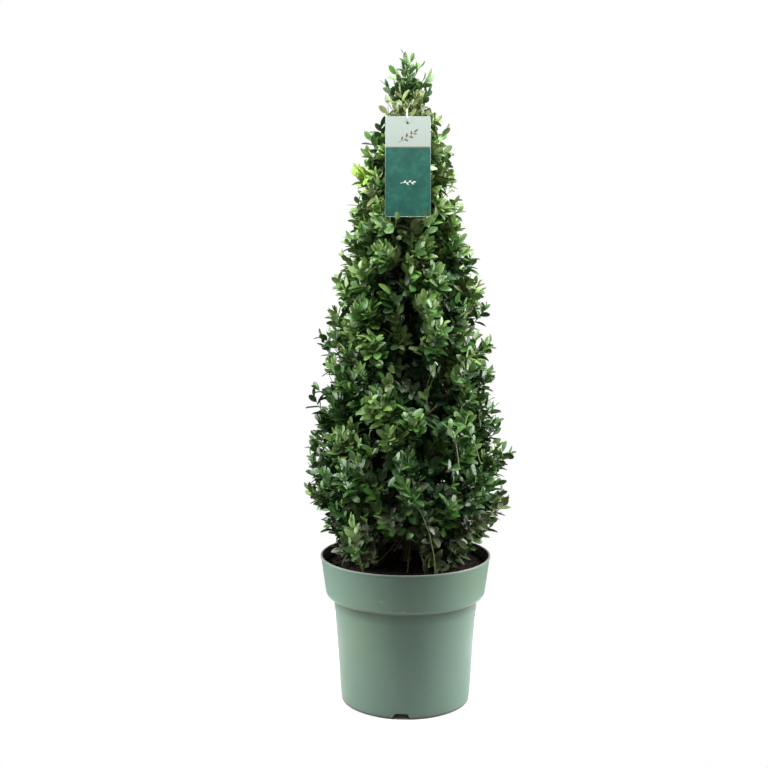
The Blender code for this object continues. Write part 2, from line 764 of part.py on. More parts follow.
def make_tie(finish, limbs):
    """The loop: through the tag's hole, over its top edge and round the leader."""
    centre = trunk_centre(TIE_HEIGHT)
    wrap = trunk_radius(TIE_HEIGHT) + TIE_RADIUS + GAP
    left, right = centre.x - wrap, centre.x + wrap
    stations = [
        tag_point(0, TAG_HOLE_DROP - 0.0014),
        tag_point(-0.0006, TAG_HOLE_DROP - 0.0038, 0.0024),
        tag_point(-0.0014, -0.0012, 0.0024),
        Vector((left + 0.0015, TAG_TOP.y + 0.006, TAG_TOP.z + 0.0085)),
        Vector((left, TAG_TOP.y + 0.026, TIE_HEIGHT + 0.0130)),
        Vector((left, centre.y, TIE_HEIGHT)),
        Vector((centre.x, centre.y + wrap, TIE_HEIGHT)),
        Vector((right, centre.y, TIE_HEIGHT)),
        Vector((right, TAG_TOP.y + 0.026, TIE_HEIGHT + 0.0080)),
        tag_point(0.0010, TAG_HOLE_DROP - 0.0026, -0.0060),
    ]
    path = smooth_loop(stations, TIE_STEPS)
    radii = [TIE_RADIUS] * len(path)
    limbs.add(path + path[:1], radii + radii[:1])
    return add_object("tag_tie", mesh_of("tag_tie", *swept(path, radii, 5, closed=True)), finish)


def keep_clear_of_tag(limbs):
    """Rows of small spheres over the card, so that no leaf grows through it."""
    rows = round(TAG_HEIGHT / TAG_ROOM)
    columns = round(TAG_WIDTH / TAG_ROOM)
    for i in range(rows + 1):
        for k in range(columns + 1):
            limbs.centres.append(tag_point(TAG_WIDTH * (k / columns - 0.5), TAG_HEIGHT * i / rows))
            limbs.radii.append(TAG_ROOM * 0.8)


def main():
    clear_scene()
    pot_plastic = material("pot_plastic", (0.235, 0.330, 0.270), 0.45)
    peat = material("peat", (0.016, 0.012, 0.010), 0.95)
    bark = material("bark", (0.150, 0.120, 0.070), 0.80)
    leaf_green = material("leaf_green", (0.045, 0.110, 0.030), 0.40)
    card = material("card", (0.030, 0.190, 0.140), 0.45)
    white_cord = material("white_cord", (0.800, 0.800, 0.780), 0.60)
    limbs = Limbs()
    make_pot(pot_plastic)
    make_soil(peat)
    make_tag(card)
    make_tie(white_cord, limbs)
    keep_clear_of_tag(limbs)
    grow_crown(bark, leaf_green, limbs)


main()
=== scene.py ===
"""A Japanese holly clipped to a pyramid, in the sage green nursery pot that it is sold in.

Units are metres and +Z is up. The pot stands on z = 0 round the Z axis, and the front, where the tag hangs,
faces -Y.
"""

import math
from collections import namedtuple

import bpy
import numpy as np
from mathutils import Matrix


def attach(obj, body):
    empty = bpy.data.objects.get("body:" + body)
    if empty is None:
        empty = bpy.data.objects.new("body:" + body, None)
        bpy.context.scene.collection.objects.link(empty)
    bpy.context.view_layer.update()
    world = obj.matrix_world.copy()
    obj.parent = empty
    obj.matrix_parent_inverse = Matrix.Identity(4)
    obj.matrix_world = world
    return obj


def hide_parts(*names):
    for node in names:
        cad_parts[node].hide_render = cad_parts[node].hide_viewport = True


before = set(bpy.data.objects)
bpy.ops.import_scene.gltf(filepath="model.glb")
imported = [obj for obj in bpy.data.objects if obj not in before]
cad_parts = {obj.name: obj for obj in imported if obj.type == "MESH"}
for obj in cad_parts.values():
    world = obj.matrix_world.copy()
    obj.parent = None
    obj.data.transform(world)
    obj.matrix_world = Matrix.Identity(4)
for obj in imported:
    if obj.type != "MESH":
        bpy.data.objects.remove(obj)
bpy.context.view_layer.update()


# Pot. A 21 cm nursery pot, injection moulded from polypropylene in one thin shell, sage green outside and
# black inside. Its underside and the inside of its foot ring are black as well, which keeps the notches dark.
# A wide collar with a thin lip stiffens the rim. The foot is a ring with four notches, and the raised floor
# inside it has eight drain holes round a flat middle.

POT_HEIGHT = 0.180
RIM_RADIUS = 0.105
RIM_LEAN = 0.0010
COLLAR_FOOT = 0.1370
COLLAR_FOOT_RADIUS = 0.0985
STEP_FOOT = 0.1290
BODY_TOP_RADIUS = 0.0887
BASE_RADIUS = 0.0790
WALL = 0.0016
LIP_HEIGHT = 0.0022
LIP_REACH = 0.0008
EDGE_ROUND = 0.0007
FOOT_WIDTH = 0.0045
FOOT_ROUND = 0.0015
CREASE_ROUND = 0.0012
FLOOR_LIFT = 0.0070
WALL_STATIONS = (FLOOR_LIFT, 0.03, 0.06, 0.09, 0.115)
BOSS_RADIUS = 0.020
BOSS_DRAFT = 0.0015
NOTCHES = 4
NOTCH_AZIMUTH = math.radians(-93.5)
NOTCH_HEIGHT = 0.0066
NOTCH_FOOT_HALF = 0.0112
NOTCH_HEAD_HALF = 0.0070
DRAIN_HOLES = 8
DRAIN_RADIUS = 0.0055
DRAIN_CIRCLE = 0.049
DRAIN_SIDES = 24
POT_COLUMNS = 240
FOOT_RINGS = 5
SAGE = "#637F70"
SAGE_LIGHT = "#6B8878"
SAGE_WARM = "#6C8468"
SCUFF = "#C3CFC8"
# Paler rim top: a painted highlight
RIM_HIGHLIGHT_PALE = "#84877E"
# The foot's bottom edge, darker and browner
FOOT_DARK_BROWN = "#4C4036"
# Dark green painted shade in the crease under the collar, fading over a reach to a faint tint of all the body
# below it
BODY_TINT_AND_CREASE_SHADE = "#33482C"
CREASE_SHADE_REACH = 0.014
BODY_TINT_SHARE = 0.10
POT_BLACK = "#120F0D"
# Sizes of what mottles the plastic, and the heights between which its bands come in
CLOUDS = 0.055
WARM_PATCHES = 0.110
SCUFFS = 0.0083
SCUFFED_AREAS = 0.071
MOULD_SKIN = 0.0012
# The rim's painted highlight, the foot's darker edge, and the band where the painted shade under the collar
# stops
RIM_HIGHLIGHT_BAND = (POT_HEIGHT - 0.0011, POT_HEIGHT - 0.0005)
FOOT_DARK_BAND = (0.0034, 0.0012)
STEP_BAND = (STEP_FOOT + 0.0012, STEP_FOOT + 0.0002)


def linear(colour):
    """The linear red, green, blue and alpha of an sRGB hex colour."""
    parts = np.array([int(colour[i : i + 2], 16) for i in (1, 3, 5)]) / 255
    return (*np.where(parts <= 0.04045, parts / 12.92, ((parts + 0.055) / 1.055) ** 2.4), 1.0)


def new_finish(name, colour, roughness, sockets=()):
    """A finish with one Principled shader: its colour, its roughness and any other sockets by name."""
    made = bpy.data.materials.new(name)
    made.use_nodes = True
    shader = made.node_tree.nodes["Principled BSDF"]
    shader.inputs["Base Color"].default_value = linear(colour)
    shader.inputs["Roughness"].default_value = roughness
    for socket, value in dict(sockets).items():
        shader.inputs[socket].default_value = value
    return made


def add_node(made, kind, inputs=(), **settings):
    """Adds a shader node to a finish. An input is a value, or another node's output that feeds it."""
    node = made.node_tree.nodes.new("ShaderNode" + kind)
    for name, value in settings.items():
        setattr(node, name, value)
    for socket, value in dict(inputs).items():
        if isinstance(value, bpy.types.NodeSocket):
            made.node_tree.links.new(value, node.inputs[socket])
        else:
            node.inputs[socket].default_value = value
    return node


def feed(made, socket, output):
    """Links a node's output to a socket of the finish's Principled shader."""
    made.node_tree.links.new(output, made.node_tree.nodes["Principled BSDF"].inputs[socket])


def object_place(made):
    """An output of the object's own coordinates in metres."""
    return add_node(made, "TexCoord").outputs["Object"]


def reckoned(made, operation, *values):
    """The output of a Math node for these values or outputs."""
    return add_node(made, "Math", dict(enumerate(values)), operation=operation).outputs[0]


def bump(made, height, strength, distance):
    """Bumps the finish's surface by an output, by up to this distance."""
    settings = {"Height": height, "Strength": strength, "Distance": distance}
    feed(made, "Normal", add_node(made, "Bump", settings).outputs[0])


def ranged(made, value, low, high, start=0.0, end=1.0):
    """An output that runs from start to end while a value runs from low to high."""
    return add_node(made, "MapRange", {"Value": value, 1: low, 2: high, 3: start, 4: end}).outputs[0]


def blended(made, share, first, second):
    """An output that is first + share (second - first). Each colour is a hex colour or another output."""
    first, second = (linear(end) if isinstance(end, str) else end for end in (first, second))
    return add_node(made, "Mix", {0: share, 6: first, 7: second}, data_type="RGBA").outputs[2]


def noise(made, place, size, detail):
    """An output of soft random patches of about this size in metres, around 0.5."""
    settings = {"Vector": place, "Scale": 1 / size, "Detail": detail}
    return add_node(made, "TexNoise", settings).outputs["Fac"]


def arc(centre, radii, start, end, steps):
    """An arc about a centre as (radius, height) pairs, between two angles in degrees.

    It has one radius, or one of each kind for an ellipse.
    """
    turn = np.radians(np.linspace(start, end, steps))
    return np.stack([np.cos(turn), np.sin(turn)], axis=1) * radii + centre


def full_turn(steps):
    """Even angles once round, from 0."""
    return np.linspace(0, 2 * math.pi, steps, endpoint=False)


def polar(radius, azimuth, height):
    """Points at a distance from the Z axis, an azimuth and a height."""
    radius, azimuth, height = np.broadcast_arrays(radius, azimuth, height)
    return np.stack([radius * np.cos(azimuth), radius * np.sin(azimuth), height], axis=-1)


def skins(rings, firsts, lasts):
    """Closed skins: (skin, ring, side, xyz) points, each ring joined to the next one by four-sided faces.

    A fan of triangles to a first and to a last point closes each end. Rings whose sides run anticlockwise
    as seen from the last point face outwards. Gives the points, the four-sided faces and the triangles.
    """
    count, ring_count, sides, _ = rings.shape
    points = np.concatenate([rings.reshape(count, -1, 3), firsts[:, None], lasts[:, None]], axis=1)
    size = points.shape[1]
    top = (ring_count - 1) * sides
    ring = np.arange(ring_count - 1)[:, None] * sides
    side = np.arange(sides)
    after = (side + 1) % sides
    quads = np.stack([ring + side, ring + after, ring + sides + after, ring + sides + side], axis=2)
    low_fan = np.stack([after, side, np.full(sides, size - 2)], axis=1)
    high_fan = np.stack([top + side, top + after, np.full(sides, size - 1)], axis=1)
    step = np.arange(count)[:, None, None] * size
    fans = np.concatenate([low_fan, high_fan]) + step
    return points.reshape(-1, 3), (quads.reshape(-1, 4) + step).reshape(-1, 4), fans.reshape(-1, 3)


def new_piece(name, points, quads, triangles, finishes, finish_of=None, sharp=35.0):
    """An object at the origin from arrays of points, four-sided faces and triangles, smooth up to an angle.

    finish_of gives the number of each face's finish, four-sided faces first.
    """
    mesh = bpy.data.meshes.new(name)
    corners = np.concatenate([quads.ravel(), triangles.ravel()])
    starts = np.concatenate([np.arange(len(quads)) * 4, len(quads) * 4 + np.arange(len(triangles)) * 3])
    mesh.vertices.add(len(points))
    mesh.vertices.foreach_set("co", np.asarray(points, np.float32).ravel())
    mesh.loops.add(len(corners))
    mesh.loops.foreach_set("vertex_index", corners.astype(np.int32))
    mesh.polygons.add(len(starts))
    mesh.polygons.foreach_set("loop_start", starts.astype(np.int32))
    for made in finishes:
        mesh.materials.append(made)
    if finish_of is not None:
        mesh.polygons.foreach_set("material_index", np.asarray(finish_of, np.int32))
    mesh.update(calc_edges=True)
    mesh.validate()
    mesh.shade_smooth()
    mesh.set_sharp_from_angle(angle=math.radians(sharp))
    piece = bpy.data.objects.new(name, mesh)
    bpy.context.scene.collection.objects.link(piece)
    return piece


def pot_outline():
    """The pot's outline from the middle of its underside, up its outside and down its inside to the floor.

    Straight walls between round corners, as (radius, height) pairs, and the number of the first inside pair.
    """
    wall_slope = (BODY_TOP_RADIUS - BASE_RADIUS) / STEP_FOOT
    foot = BASE_RADIUS - FOOT_ROUND
    crease = BODY_TOP_RADIUS + CREASE_ROUND
    collar_top = RIM_RADIUS - LIP_REACH
    floor_top = FLOOR_LIFT + WALL
    inner_rim = RIM_RADIUS - WALL - RIM_LEAN
    outside = np.concatenate(
        [
            [(BOSS_RADIUS * 0.5, 0), (BOSS_RADIUS, 0), (BOSS_RADIUS + BOSS_DRAFT, FLOOR_LIFT)],
            [(BASE_RADIUS - FOOT_WIDTH, FLOOR_LIFT), (BASE_RADIUS - FOOT_WIDTH, 0)],
            arc((foot, FOOT_ROUND), FOOT_ROUND, -90, 0, 5),
            [(BASE_RADIUS + wall_slope * z, z) for z in WALL_STATIONS],
            arc((crease, STEP_FOOT - CREASE_ROUND), CREASE_ROUND, 180, 90, 5),
            arc((crease, COLLAR_FOOT), (COLLAR_FOOT_RADIUS - crease, COLLAR_FOOT - STEP_FOOT), -88, 0, 10),
            [(collar_top, POT_HEIGHT - LIP_HEIGHT - LIP_REACH), (RIM_RADIUS, POT_HEIGHT - LIP_HEIGHT)],
            arc((RIM_RADIUS - EDGE_ROUND, POT_HEIGHT - EDGE_ROUND), EDGE_ROUND, 0, 90, 4),
            arc((inner_rim + EDGE_ROUND, POT_HEIGHT - EDGE_ROUND), EDGE_ROUND, 90, 180, 4),
        ]
    )
    inside = np.array(
        [
            (COLLAR_FOOT_RADIUS - WALL, COLLAR_FOOT),
            (BODY_TOP_RADIUS - WALL, STEP_FOOT),
            (BASE_RADIUS + wall_slope * floor_top - WALL, floor_top),
            (BOSS_RADIUS * 0.5, floor_top),
        ]
    )
    return np.concatenate([outside, inside]), len(outside) - 2


def notched_columns():
    """The angles of the pot's columns: evenly spread, the nearest ones moved onto the notches' corners."""
    columns = full_turn(POT_COLUMNS)
    middles = NOTCH_AZIMUTH + 2 * math.pi * np.arange(NOTCHES)[:, None] / NOTCHES
    halves = np.array([NOTCH_FOOT_HALF, NOTCH_HEAD_HALF]) / BASE_RADIUS
    corners = (middles + np.concatenate([halves, -halves])) % (2 * math.pi)
    columns[np.round(corners / columns[1]).astype(int) % POT_COLUMNS] = corners
    return columns


def notch_lift(columns):
    """How high a notch lifts the foot at each column: a trapezium round each notch's middle, else nothing."""
    apart = 2 * math.pi / NOTCHES
    off = np.abs((columns - NOTCH_AZIMUTH + apart / 2) % apart - apart / 2) * BASE_RADIUS
    return NOTCH_HEIGHT * np.clip((NOTCH_FOOT_HALF - off) / (NOTCH_FOOT_HALF - NOTCH_HEAD_HALF), 0, 1)


def pot_rings():
    """The outline turned about Z, with the foot ring pressed up to the notches from below."""
    outline, _ = pot_outline()
    columns = notched_columns()
    radius, height = outline[:, :1], outline[:, 1:]
    in_foot = (radius > BASE_RADIUS - FOOT_WIDTH - EDGE_ROUND) & (height < FLOOR_LIFT)
    lifted = height + in_foot * notch_lift(columns) * (1 - height / FLOOR_LIFT)
    return polar(radius, columns, lifted)


def drill_floor(piece):
    """Cuts the round drain holes through the floor with a Boolean, and removes the drill again."""
    middle = 2 * math.pi * (np.arange(DRAIN_HOLES) + 0.5) / DRAIN_HOLES
    centre = polar(DRAIN_CIRCLE, middle, 0.0)
    around = polar(DRAIN_RADIUS, full_turn(DRAIN_SIDES), 0.0)
    ends = np.array([[0, 0, FLOOR_LIFT - 2 * WALL], [0, 0, FLOOR_LIFT + 3 * WALL]])
    rings = centre[:, None, None] + around[None, None] + ends[None, :, None]
    drill = new_piece("drill", *skins(rings, centre + ends[0], centre + ends[1]), finishes=())
    cut = piece.modifiers.new("drain holes", "BOOLEAN")
    cut.operation = "DIFFERENCE"
    cut.object = drill
    graph = bpy.context.evaluated_depsgraph_get()
    drilled = bpy.data.meshes.new_from_object(piece.evaluated_get(graph))
    piece.modifiers.clear()
    piece.data = drilled
    bpy.data.objects.remove(drill)


def sage_plastic():
    """Moulded polypropylene: a satin skin, faintly clouded and warmer in places, paler along the rim's top
    edge as a painted highlight.

    Pale scuffs from handling are a few millimetres long and lie mostly level, as pots rub round each other
    in a stack. A faint dark green lies over all below the collar and deepens into painted shade in the crease
    under the collar. The foot's lowest three millimetres are darker and browner.
    """
    made = new_finish("sage polypropylene, moulded", SAGE, 0.42, {"IOR": 1.49})
    place = object_place(made)
    clouds = noise(made, place, CLOUDS, 3.0)
    patches = noise(made, place, WARM_PATCHES, 1.0)
    colour = blended(made, clouds, SAGE, SAGE_LIGHT)
    colour = blended(made, ranged(made, patches, 0.50, 0.34, 0.0, 0.45), colour, SAGE_WARM)
    level = add_node(made, "Mapping", {"Vector": place, "Scale": (1.0, 1.0, 2.6)}).outputs[0]
    fine = ranged(made, noise(made, level, SCUFFS, 5.0), 0.62, 0.72, 0.0, 0.20)
    rare = ranged(made, noise(made, place, SCUFFED_AREAS, 1.0), 0.56, 0.66)
    colour = blended(made, reckoned(made, "MULTIPLY", fine, rare), colour, SCUFF)
    height = add_node(made, "SeparateXYZ", {"Vector": place}).outputs["Z"]
    # Painted highlight: a paler band along the rim's top edge
    colour = blended(made, ranged(made, height, *RIM_HIGHLIGHT_BAND), colour, RIM_HIGHLIGHT_PALE)
    # Darker and browner over the foot's lowest millimetres
    colour = blended(made, ranged(made, height, *FOOT_DARK_BAND, 0.0, 0.9), colour, FOOT_DARK_BROWN)
    # Painted shade: dark green strongest in the crease under the collar, fading down to a faint tint of the
    # body
    film = ranged(made, height, STEP_FOOT - CREASE_SHADE_REACH, STEP_FOOT, BODY_TINT_SHARE, 0.90)
    film = reckoned(made, "MULTIPLY", film, ranged(made, height, *STEP_BAND))
    feed(made, "Base Color", blended(made, film, colour, BODY_TINT_AND_CREASE_SHADE))
    feed(made, "Roughness", ranged(made, clouds, 0.3, 0.7, 0.36, 0.48))
    # The mould's skin is a tenth of a millimetre fine; here it is drawn at 1.2 mm, the least that shows.
    bump(made, noise(made, place, MOULD_SKIN, 1.0), 0.08, 0.0003)
    return made


pot_black = new_finish("black polypropylene, moulded", POT_BLACK, 0.55, {"IOR": 1.49})
rings = pot_rings()
pot_faces = skins(rings[None], np.zeros((1, 3)), np.array([[0, 0, FLOOR_LIFT + WALL]]))
first_inside = pot_outline()[1]
strip = np.arange(len(rings) - 1)
is_black = np.repeat((strip < FOOT_RINGS - 1) | (strip >= first_inside), POT_COLUMNS)
ends_black = np.full(2 * POT_COLUMNS, True)
pot = new_piece("pot_shell", *pot_faces, (sage_plastic(), pot_black), np.concatenate([is_black, ends_black]))
drill_floor(pot)
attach(pot, "root")
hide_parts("pot")


# Soil. Dark peat mix that fills the pot, a little heaped towards the stems. Its top is crumbly: loose crumbs
# and chips of composted bark lie on it.

SOIL_TOP = 0.1680
SOIL_MOUND = 0.0035
SOIL_LUMP = 0.0012
# The lumps that roughen the top: each one's share and its size
SOIL_LUMPS = ((0.5, 0.020), (0.35, 0.007), (0.3, 0.0025))
SOIL_ROWS = 70
SOIL_COLUMNS = 200
SOIL_REACH = 0.099
CLEAR = 0.0003
CRUMBS = 2800
CRUMB_SIZE = (0.0006, 0.0022)
CRUMB_FLATNESS = 0.8
CHIPS = 260
CHIP_SIZE = (0.0020, 0.0050)
CHIP_FLATNESS = 0.3
PEAT = "#1F1A16"
PEAT_BROWN = "#33261C"
CHIP_RED = "#4A2A1C"


def ripples(points, wavelength, seed, waves=9):
    """A smooth random field of about -1 to 1: sine waves of nearly one wavelength in random directions."""
    rng = np.random.default_rng(seed)
    heading = rng.normal(size=(waves, 3))
    heading /= np.linalg.norm(heading, axis=1, keepdims=True) * wavelength * rng.uniform(0.7, 1.4, (waves, 1))
    return 2.2 * np.sin(points @ heading.T * 2 * math.pi + rng.uniform(0, 2 * math.pi, waves)).mean(axis=-1)


def soil_height(radius):
    """Height of the heaped soil at a distance from the axis: a shallow dome, before its lumps."""
    return SOIL_TOP + SOIL_MOUND * (1 - (radius / RIM_RADIUS) ** 2)


def lumpy_height(x, y):
    """The soil's real surface: the dome with lumps of three sizes that only lower it."""
    flat = np.stack([x, y, np.zeros_like(x)], axis=-1)
    rough = sum(share * ripples(flat, size, seed) for seed, (share, size) in enumerate(SOIL_LUMPS, 1))
    return soil_height(np.hypot(x, y)) - SOIL_LUMP * (0.9 - np.clip(rough, -0.9, 0.9))


def soil_rings():
    """The filling: up the inside of the pot's wall from its floor, then over the lumpy top to the middle."""
    outline, first = pot_outline()
    rim, collar, step, base = outline[first + 1 : first + 5]
    edge_height = SOIL_TOP - SOIL_LUMP
    edge = collar[0] + (rim[0] - collar[0]) * (edge_height - collar[1]) / (rim[1] - collar[1]) - CLEAR
    radius = np.array([base[0], step[0], collar[0], edge + CLEAR])[:, None] - CLEAR
    height = np.array([FLOOR_LIFT + WALL + CLEAR, step[1], collar[1], edge_height])[:, None]
    top = edge * (1 - np.arange(1, SOIL_ROWS) / SOIL_ROWS)[:, None]
    crumbled = polar(top, full_turn(SOIL_COLUMNS), 0.0)
    crumbled[..., 2] = lumpy_height(crumbled[..., 0], crumbled[..., 1])
    return np.concatenate([polar(radius, full_turn(SOIL_COLUMNS), height), crumbled])


def loose_bits(count, sizes, flatness, seed):
    """Loose bits strewn over the soil's top, more small ones than large ones.

    Each is a rough ball of four-sided rings and two poles, squeezed and turned at random.
    """
    rng = np.random.default_rng(seed)
    azimuth = rng.uniform(0, 2 * math.pi, count)
    radius = SOIL_REACH * np.sqrt(rng.uniform(0, 1, count))
    size = sizes[0] + (sizes[1] - sizes[0]) * rng.uniform(0, 1, count) ** 2.5
    centres = polar(radius, azimuth, 0.0)
    centres[:, 2] = lumpy_height(centres[:, 0], centres[:, 1]) - 0.1 * size
    rise = np.radians([-50, 0, 50])[:, None]
    ball = polar(np.cos(rise), full_turn(5), np.sin(rise))
    poles = np.array([[0, 0, -1.0], [0, 0, 1.0]])
    stretch = rng.uniform(0.6, 1.3, (count, 3)) * [1.0, 0.7, flatness] * size[:, None]
    frames = np.linalg.qr(rng.normal(size=(count, 3, 3)) + np.diag([0, 0, 2.5]))[0]
    frames *= np.sign(np.linalg.det(frames))[:, None, None]
    rough = ball * rng.uniform(0.75, 1.2, (count, 3, 5, 1))
    rings = centres[:, None, None] + np.einsum("crsi,cij->crsj", rough * stretch[:, None, None], frames)
    tips = centres[:, None] + np.einsum("cpi,cij->cpj", poles * stretch[:, None], frames)
    return skins(rings, tips[:, 0], tips[:, 1])


def soil_finish(name, dark, light, grain):
    """Moist organic matter: dark and matt, its colour mottled at the size of its grain."""
    made = new_finish(name, dark, 0.92, {"Specular IOR Level": 0.25})
    mottle = noise(made, object_place(made), grain, 4.0)
    feed(made, "Base Color", blended(made, ranged(made, mottle, 0.48, 0.72), dark, light))
    bump(made, mottle, 0.6, 0.0006)
    return made


peat = soil_finish("moist peat mix", PEAT, PEAT_BROWN, 0.002)
composted_bark = soil_finish("composted bark chips", PEAT_BROWN, CHIP_RED, 0.003)
floor_point = np.array([[0, 0, FLOOR_LIFT + WALL + CLEAR]])
top_point = np.array([[0, 0, soil_height(0) - SOIL_LUMP]])
soil = new_piece("soil_fill", *skins(soil_rings()[None], floor_point, top_point), (peat,))
crumb_parts = loose_bits(CRUMBS, CRUMB_SIZE, CRUMB_FLATNESS, 21)
crumbs = new_piece("soil_crumbs", *crumb_parts, (peat,), sharp=25.0)
chip_parts = loose_bits(CHIPS, CHIP_SIZE, CHIP_FLATNESS, 22)
chips = new_piece("bark_chips", *chip_parts, (composted_bark,), sharp=25.0)
for piece in (soil, crumbs, chips):
    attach(piece, "root")
    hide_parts("potting_soil")


# Stems. The leader, the side stems of the clump and the boughs: holly wood under thin, fairly smooth bark,
# tan where it is old and still greenish above, with faint lengthwise ridges and a knot where a leaf once sat.

TRUNK_FOOT = SOIL_TOP + SOIL_MOUND + CLEAR
TRUNK_TIP = 0.700
TRUNK_FOOT_RADIUS = 0.0050
TRUNK_TIP_RADIUS = 0.0014
TRUNK_SWAY = 0.0025
ROOT_FLARE = 0.0028
FLARE_HEIGHT = 0.012
BOUGH_RADIUS = 0.0017
BOUGH_LIFT = 0.004
BOUGH_STEP = 0.006
BOUGH_RISE = 0.022
BOUGH_BELLY = 0.002
STEM_FOOT_RADIUS = 0.0026
STEM_TIP_RADIUS = 0.0017
STEM_COLLAR = 0.0050
STEM_BELLY = 0.006
SIDE_STEMS = {
    "left": (0.053, 200, 0.068, 197, 0.224),
    "front": (0.054, 326, 0.046, 286, 0.238),
    "right": (0.062, 350, 0.073, 343, 0.226),
    "back_right": (0.050, 57, 0.068, 54, 0.226),
    "back_left": (0.051, 124, 0.068, 126, 0.226),
}
Tier = namedtuple("Tier", "name sectors first_azimuth low high bough_reach")
TIERS = (
    Tier("lower", ("left", "front", "right", "back_right", "back_left"), 198, 0.086, 0.325, None),
    Tier("middle", ("front_left", "front_right", "back_right", "back_left"), 225, 0.325, 0.500, 0.0195),
    Tier("upper", ("left", "right", "back"), 210, 0.500, 0.672, 0.0150),
)
GOLDEN_ANGLE = math.pi * (3 - math.sqrt(5))
RING_STEP = 0.0015
LIMB_SIDES = 18
# The ridges' share of the limb's radius. They are RIDGE_WIDTH wide where the radius is as large, and
# RIDGE_RUN is their width as a share of their length.
RIDGE = 0.05
RIDGE_WIDTH = 0.006
RIDGE_RUN = 0.15
KNOT = 0.16
KNOT_LENGTH = 0.0018
KNOT_SPACING = 0.014
PORES_A_METRE = 420.0
BARK_PATCHES = 0.00625
BARK_TAN = "#6E5F43"
BARK_GREEN = "#6B6E42"
BARK_DARK = "#3C3225"


def unit(vectors):
    """The same vectors, one unit long."""
    return vectors / np.maximum(np.linalg.norm(vectors, axis=-1, keepdims=True), 1e-9)


def bent(start, middle, end, t):
    """The points of quadratic curves from start to end, drawn towards middle, at their shares t."""
    return start * (1 - t) ** 2 + middle * 2 * t * (1 - t) + end * t**2


def curve(start, middle, end, steps):
    """The same curves, each as points at even shares."""
    start, middle, end = (np.asarray(point)[..., None, :] for point in (start, middle, end))
    return bent(start, middle, end, np.linspace(0, 1, steps + 1)[:, None])


def trunk_centre(height):
    """The leader's centre at a height: nearly straight, with a slow sway."""
    sway = TRUNK_SWAY * np.sin(2.5 * math.pi * (height - TRUNK_FOOT) / (TRUNK_TIP - TRUNK_FOOT))
    return np.stack([sway, 0.4 * sway, np.broadcast_to(height, np.shape(sway))], axis=-1)


def trunk_radius(height):
    """The leader's radius at a height: an even taper, with the flare of its roots at the soil."""
    share = (height - TRUNK_FOOT) / (TRUNK_TIP - TRUNK_FOOT)
    flare = ROOT_FLARE * np.maximum(0.0, 1 - (height - TRUNK_FOOT) / FLARE_HEIGHT) ** 2
    return TRUNK_FOOT_RADIUS + (TRUNK_TIP_RADIUS - TRUNK_FOOT_RADIUS) * share + flare


def bough_path(azimuth, height, reach):
    """A bough: square out of the trunk's bark, then curving up to its tip inside a mass of foliage."""
    out = polar(1.0, azimuth, 0.0)
    foot = trunk_centre(height) + out * (trunk_radius(height) - BOUGH_RADIUS)
    knee = foot + out * 2 * BOUGH_RADIUS
    tip = polar(reach, azimuth, height + BOUGH_RISE)
    return np.concatenate([[foot], curve(knee, (knee + tip) / 2 + out * BOUGH_BELLY, tip, 8)])


def side_stem_path(foot_radius, foot_azimuth, entry_radius, entry_azimuth, entry_height):
    """A side stem: upright out of the soil, then leaning over to its mass."""
    foot = polar(foot_radius, math.radians(foot_azimuth), soil_height(foot_radius) + CLEAR)
    collar = foot + [0, 0, STEM_COLLAR]
    entry = polar(entry_radius, math.radians(entry_azimuth), entry_height)
    return np.concatenate([[foot], curve(collar, (collar + entry) / 2 + [0, 0, STEM_BELLY], entry, 12)])


def walked(path):
    """The length of a path up to each of its points."""
    return np.concatenate([[0], np.cumsum(np.linalg.norm(np.diff(path, axis=0), axis=1))])


def resampled(path, step):
    """The same path with points at about this step along it."""
    length = walked(path)
    even = np.linspace(0, length[-1], max(3, round(length[-1] / step)))
    return np.stack([np.interp(even, length, path[:, axis]) for axis in range(3)], axis=1)


def tube_rings(paths, radii, sides):
    """Round limbs along (limb, station, xyz) paths: a ring square to the path at each station.

    The first side of each ring is carried on from the ring before, so that no limb is wrung. radii has a
    radius for each station, or for each station and side.
    """
    along = unit(np.gradient(paths, axis=1))
    helper = np.where(np.abs(along[:, :1, 2:]) < 0.9, [0.0, 0.0, 1.0], [1.0, 0.0, 0.0])
    carried = [np.cross(along[:, 0], helper[:, 0])]
    for station in range(1, paths.shape[1]):
        here = along[:, station]
        carried.append(carried[-1] - here * (carried[-1] * here).sum(axis=1, keepdims=True))
    side = unit(np.stack(carried, axis=1))
    turn = full_turn(sides)[:, None]
    round_it = side[:, :, None] * np.cos(turn) + np.cross(along, side)[:, :, None] * np.sin(turn)
    radii = radii if radii.ndim == 3 else radii[:, :, None]
    return paths[:, :, None] + round_it * radii[..., None]


def bark_limb(path, radius_at, seed):
    """A limb with its bark's relief: shallow ridges that run along it, and a knot at every leaf's old place.

    The radius is the limb's own times one plus the ridges and the knots. A knot is a bump on one side, and
    the next one sits a golden angle further round.
    """
    stations = resampled(path, RING_STEP)
    along = np.arange(len(stations))[:, None] * RING_STEP
    turn = full_turn(LIMB_SIDES)
    number = np.round(along / KNOT_SPACING)
    from_knot = (along - number * KNOT_SPACING) / KNOT_LENGTH
    facing = np.cos(turn - number * GOLDEN_ANGLE - seed)
    knots = KNOT * np.exp(-(from_knot**2)) * np.clip(facing, 0, 1) ** 3
    ridges = RIDGE * ripples(polar(RIDGE_WIDTH, turn, RIDGE_RUN * along), RIDGE_WIDTH, seed)
    radii = radius_at(stations)[:, None] * (1 + ridges + knots)
    return tube_rings(stations[None], radii[None], LIMB_SIDES)


def joined(parts):
    """Several skins, as points, four-sided faces and triangles, made one."""
    firsts = np.cumsum([0] + [len(points) for points, _, _ in parts[:-1]])
    quads = np.concatenate([part[1] + first for part, first in zip(parts, firsts)])
    fans = np.concatenate([part[2] + first for part, first in zip(parts, firsts)])
    return np.concatenate([part[0] for part in parts]), quads, fans


